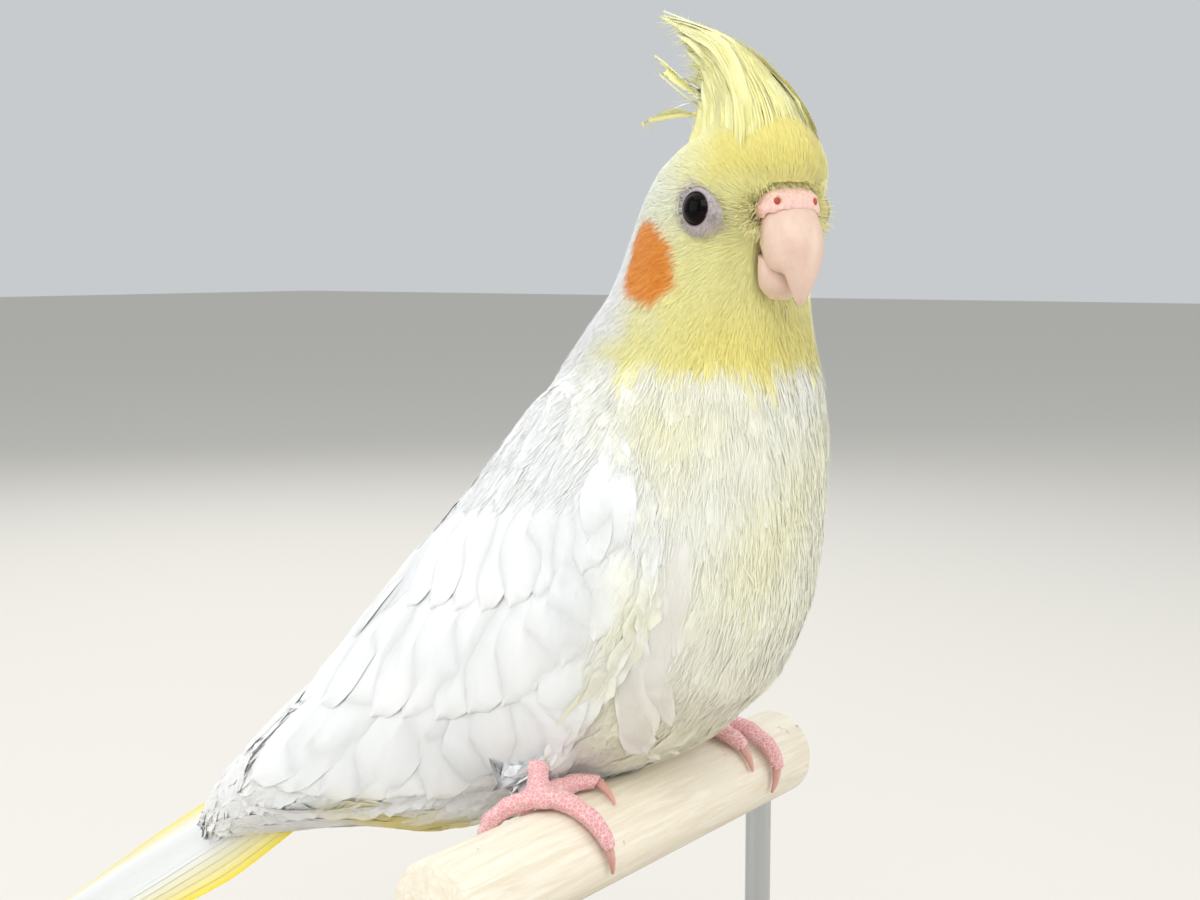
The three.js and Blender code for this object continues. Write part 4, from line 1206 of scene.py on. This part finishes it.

# perch and base: smooth turned shapes in place of the faceted ones; the rods keep their shape and take brushed
# steel

def turnedPiece(name, profile, centre, axisX, segments, material, slotName, node):
    verts = []
    for reach, radius in profile:
        for s in range(segments):
            turn = 2 * math.pi * s / segments
            point = (reach, radius * math.cos(turn), radius * math.sin(turn))
            verts.append(np.array(centre) + (point if axisX else (point[1], point[2], point[0])))
    mesh = cleanMesh(name, np.array(verts) * mm, ringFaces(len(profile), segments))
    mesh.set_sharp_from_angle(angle=math.radians(50))
    return linkPiece(name, mesh, material, slotName, node)


def woodMaterial(name, pale, dark, stretch, roughness, spots):
    # fine planed wood: long grain from stretched noise, a thin satin finish
    made, tree = makeMaterial(name)
    place = addNode(tree, "ShaderNodeTexCoord").outputs["Object"]
    lengthened = addNode(tree, "ShaderNodeMapping", sockets={"Scale": stretch}, links={"Vector": place})
    grain = addNode(tree, "ShaderNodeTexNoise",
        sockets={"Scale": 1.0, "Detail": 8.0, "Roughness": 0.65, "Distortion": 0.6},
        links={"Vector": lengthened.outputs[0]}).outputs["Fac"]
    ramp = addNode(tree, "ShaderNodeMapRange", sockets={"From Min": 0.3, "From Max": 0.72},
        links={"Value": grain})
    blend = addNode(tree, "ShaderNodeMix", {"data_type": "RGBA"}, {6: rgba(pale), 7: rgba(dark)},
        {0: ramp.outputs[0]})
    scuffs = addNode(tree, "ShaderNodeTexNoise", sockets={"Scale": 330.0, "Detail": 2.0},
        links={"Vector": place})
    marks = addNode(tree, "ShaderNodeMapRange", sockets={"From Min": 0.70, "From Max": 0.76, "To Max": spots},
        links={"Value": scuffs.outputs["Fac"]})
    marked = addNode(tree, "ShaderNodeMix", {"data_type": "RGBA"}, {7: rgba("#6E6A48")},
        {0: marks.outputs[0], 6: blend.outputs[2]})
    finishMaterial(tree, {"Roughness": roughness}, marked.outputs[2], grain, 0.25, 0.0002)
    return made


perchFinish = woodMaterial("paleBirchDowel", "#E9E2D2", "#D4C7AF", (60.0, 900.0, 900.0), 0.6, 0.6)
baseFinish = woodMaterial("oiledWalnut", "#6B4A32", "#3F2A1C", (60.0, 700.0, 700.0), 0.42, 0.0)
rodFinish, rodTree = makeMaterial("brushedSteelRod")
# brushed stainless steel: real metal with a soft highlight
finishMaterial(rodTree, {"Base Color": rgba("#B4B6B8"), "Metallic": 1.0, "Roughness": 0.32})

turnedPiece("dowel", [(-56, 0.01), (-56, 7.3), (-55.6, 7.9), (-55, 8.25), (49, 8.25), (49.6, 7.9), (50, 7.3),
    (50, 0.01)], perchPlace, True, 96, perchFinish, "perch_wood", "perch")
turnedPiece("round_base", [(0, 0.01), (0, 65.4), (0.6, 66), (9.5, 66), (11.2, 65.2), (12, 63.5), (12, 0.01)],
    (0, 0, 0), False, 128, baseFinish, "base_wood", "stand_base")
for rodName in ("stand_rod_1", "stand_rod_2"):
    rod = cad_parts[rodName]
    rod.data.materials.clear()
    rod.data.materials.append(rodFinish)

# floor and light: a pale floor and soft studio light from large lamps

floorMaterial, floorTree = makeMaterial("paleStudioFloor")
finishMaterial(floorTree, {"Base Color": rgba("#D6D2CA"), "Roughness": 0.9})
floorMesh = meshFrom("floor", [(-8, -8, 0), (8, -8, 0), (8, 8, 0), (-8, 8, 0)], [(0, 1, 2, 3)])
floor = bpy.data.objects.new("floor", floorMesh)
floorMesh.materials.append(floorMaterial)
bpy.context.scene.collection.objects.link(floor)

studioLights = {
    "key": {"place": (-0.8, -0.7, 1.0), "power": 9.4, "size": 0.9},
    "fill": {"place": (-0.9, 0.5, 0.5), "power": 4.6, "size": 1.0},
    "front": {"place": (0.5, -1.0, 0.4), "power": 4.4, "size": 0.8},
    "back": {"place": (0.7, 0.8, 0.9), "power": 5.0, "size": 0.7},
    "top": {"place": (-0.1, 0.2, 1.3), "power": 4.5, "size": 1.2},
}
aim = Vector(perched([0, 10, 55]))
for lightName, light in studioLights.items():
    lamp = bpy.data.lights.new(lightName, "AREA")
    lamp.energy = light["power"]
    lamp.size = light["size"]
    holder = bpy.data.objects.new(lightName, lamp)
    bpy.context.scene.collection.objects.link(holder)
    holder.location = light["place"]
    holder.rotation_euler = (aim - holder.location).to_track_quat("-Z", "Y").to_euler()

world = bpy.data.worlds.new("softRoom")
bpy.context.scene.world = world
world.use_nodes = True
world.node_tree.nodes["Background"].inputs["Color"].default_value = rgba("#DCE0E3")
world.node_tree.nodes["Background"].inputs["Strength"].default_value = 0.8
bpy.context.scene.view_settings.view_transform = "Standard"
print("lights set")
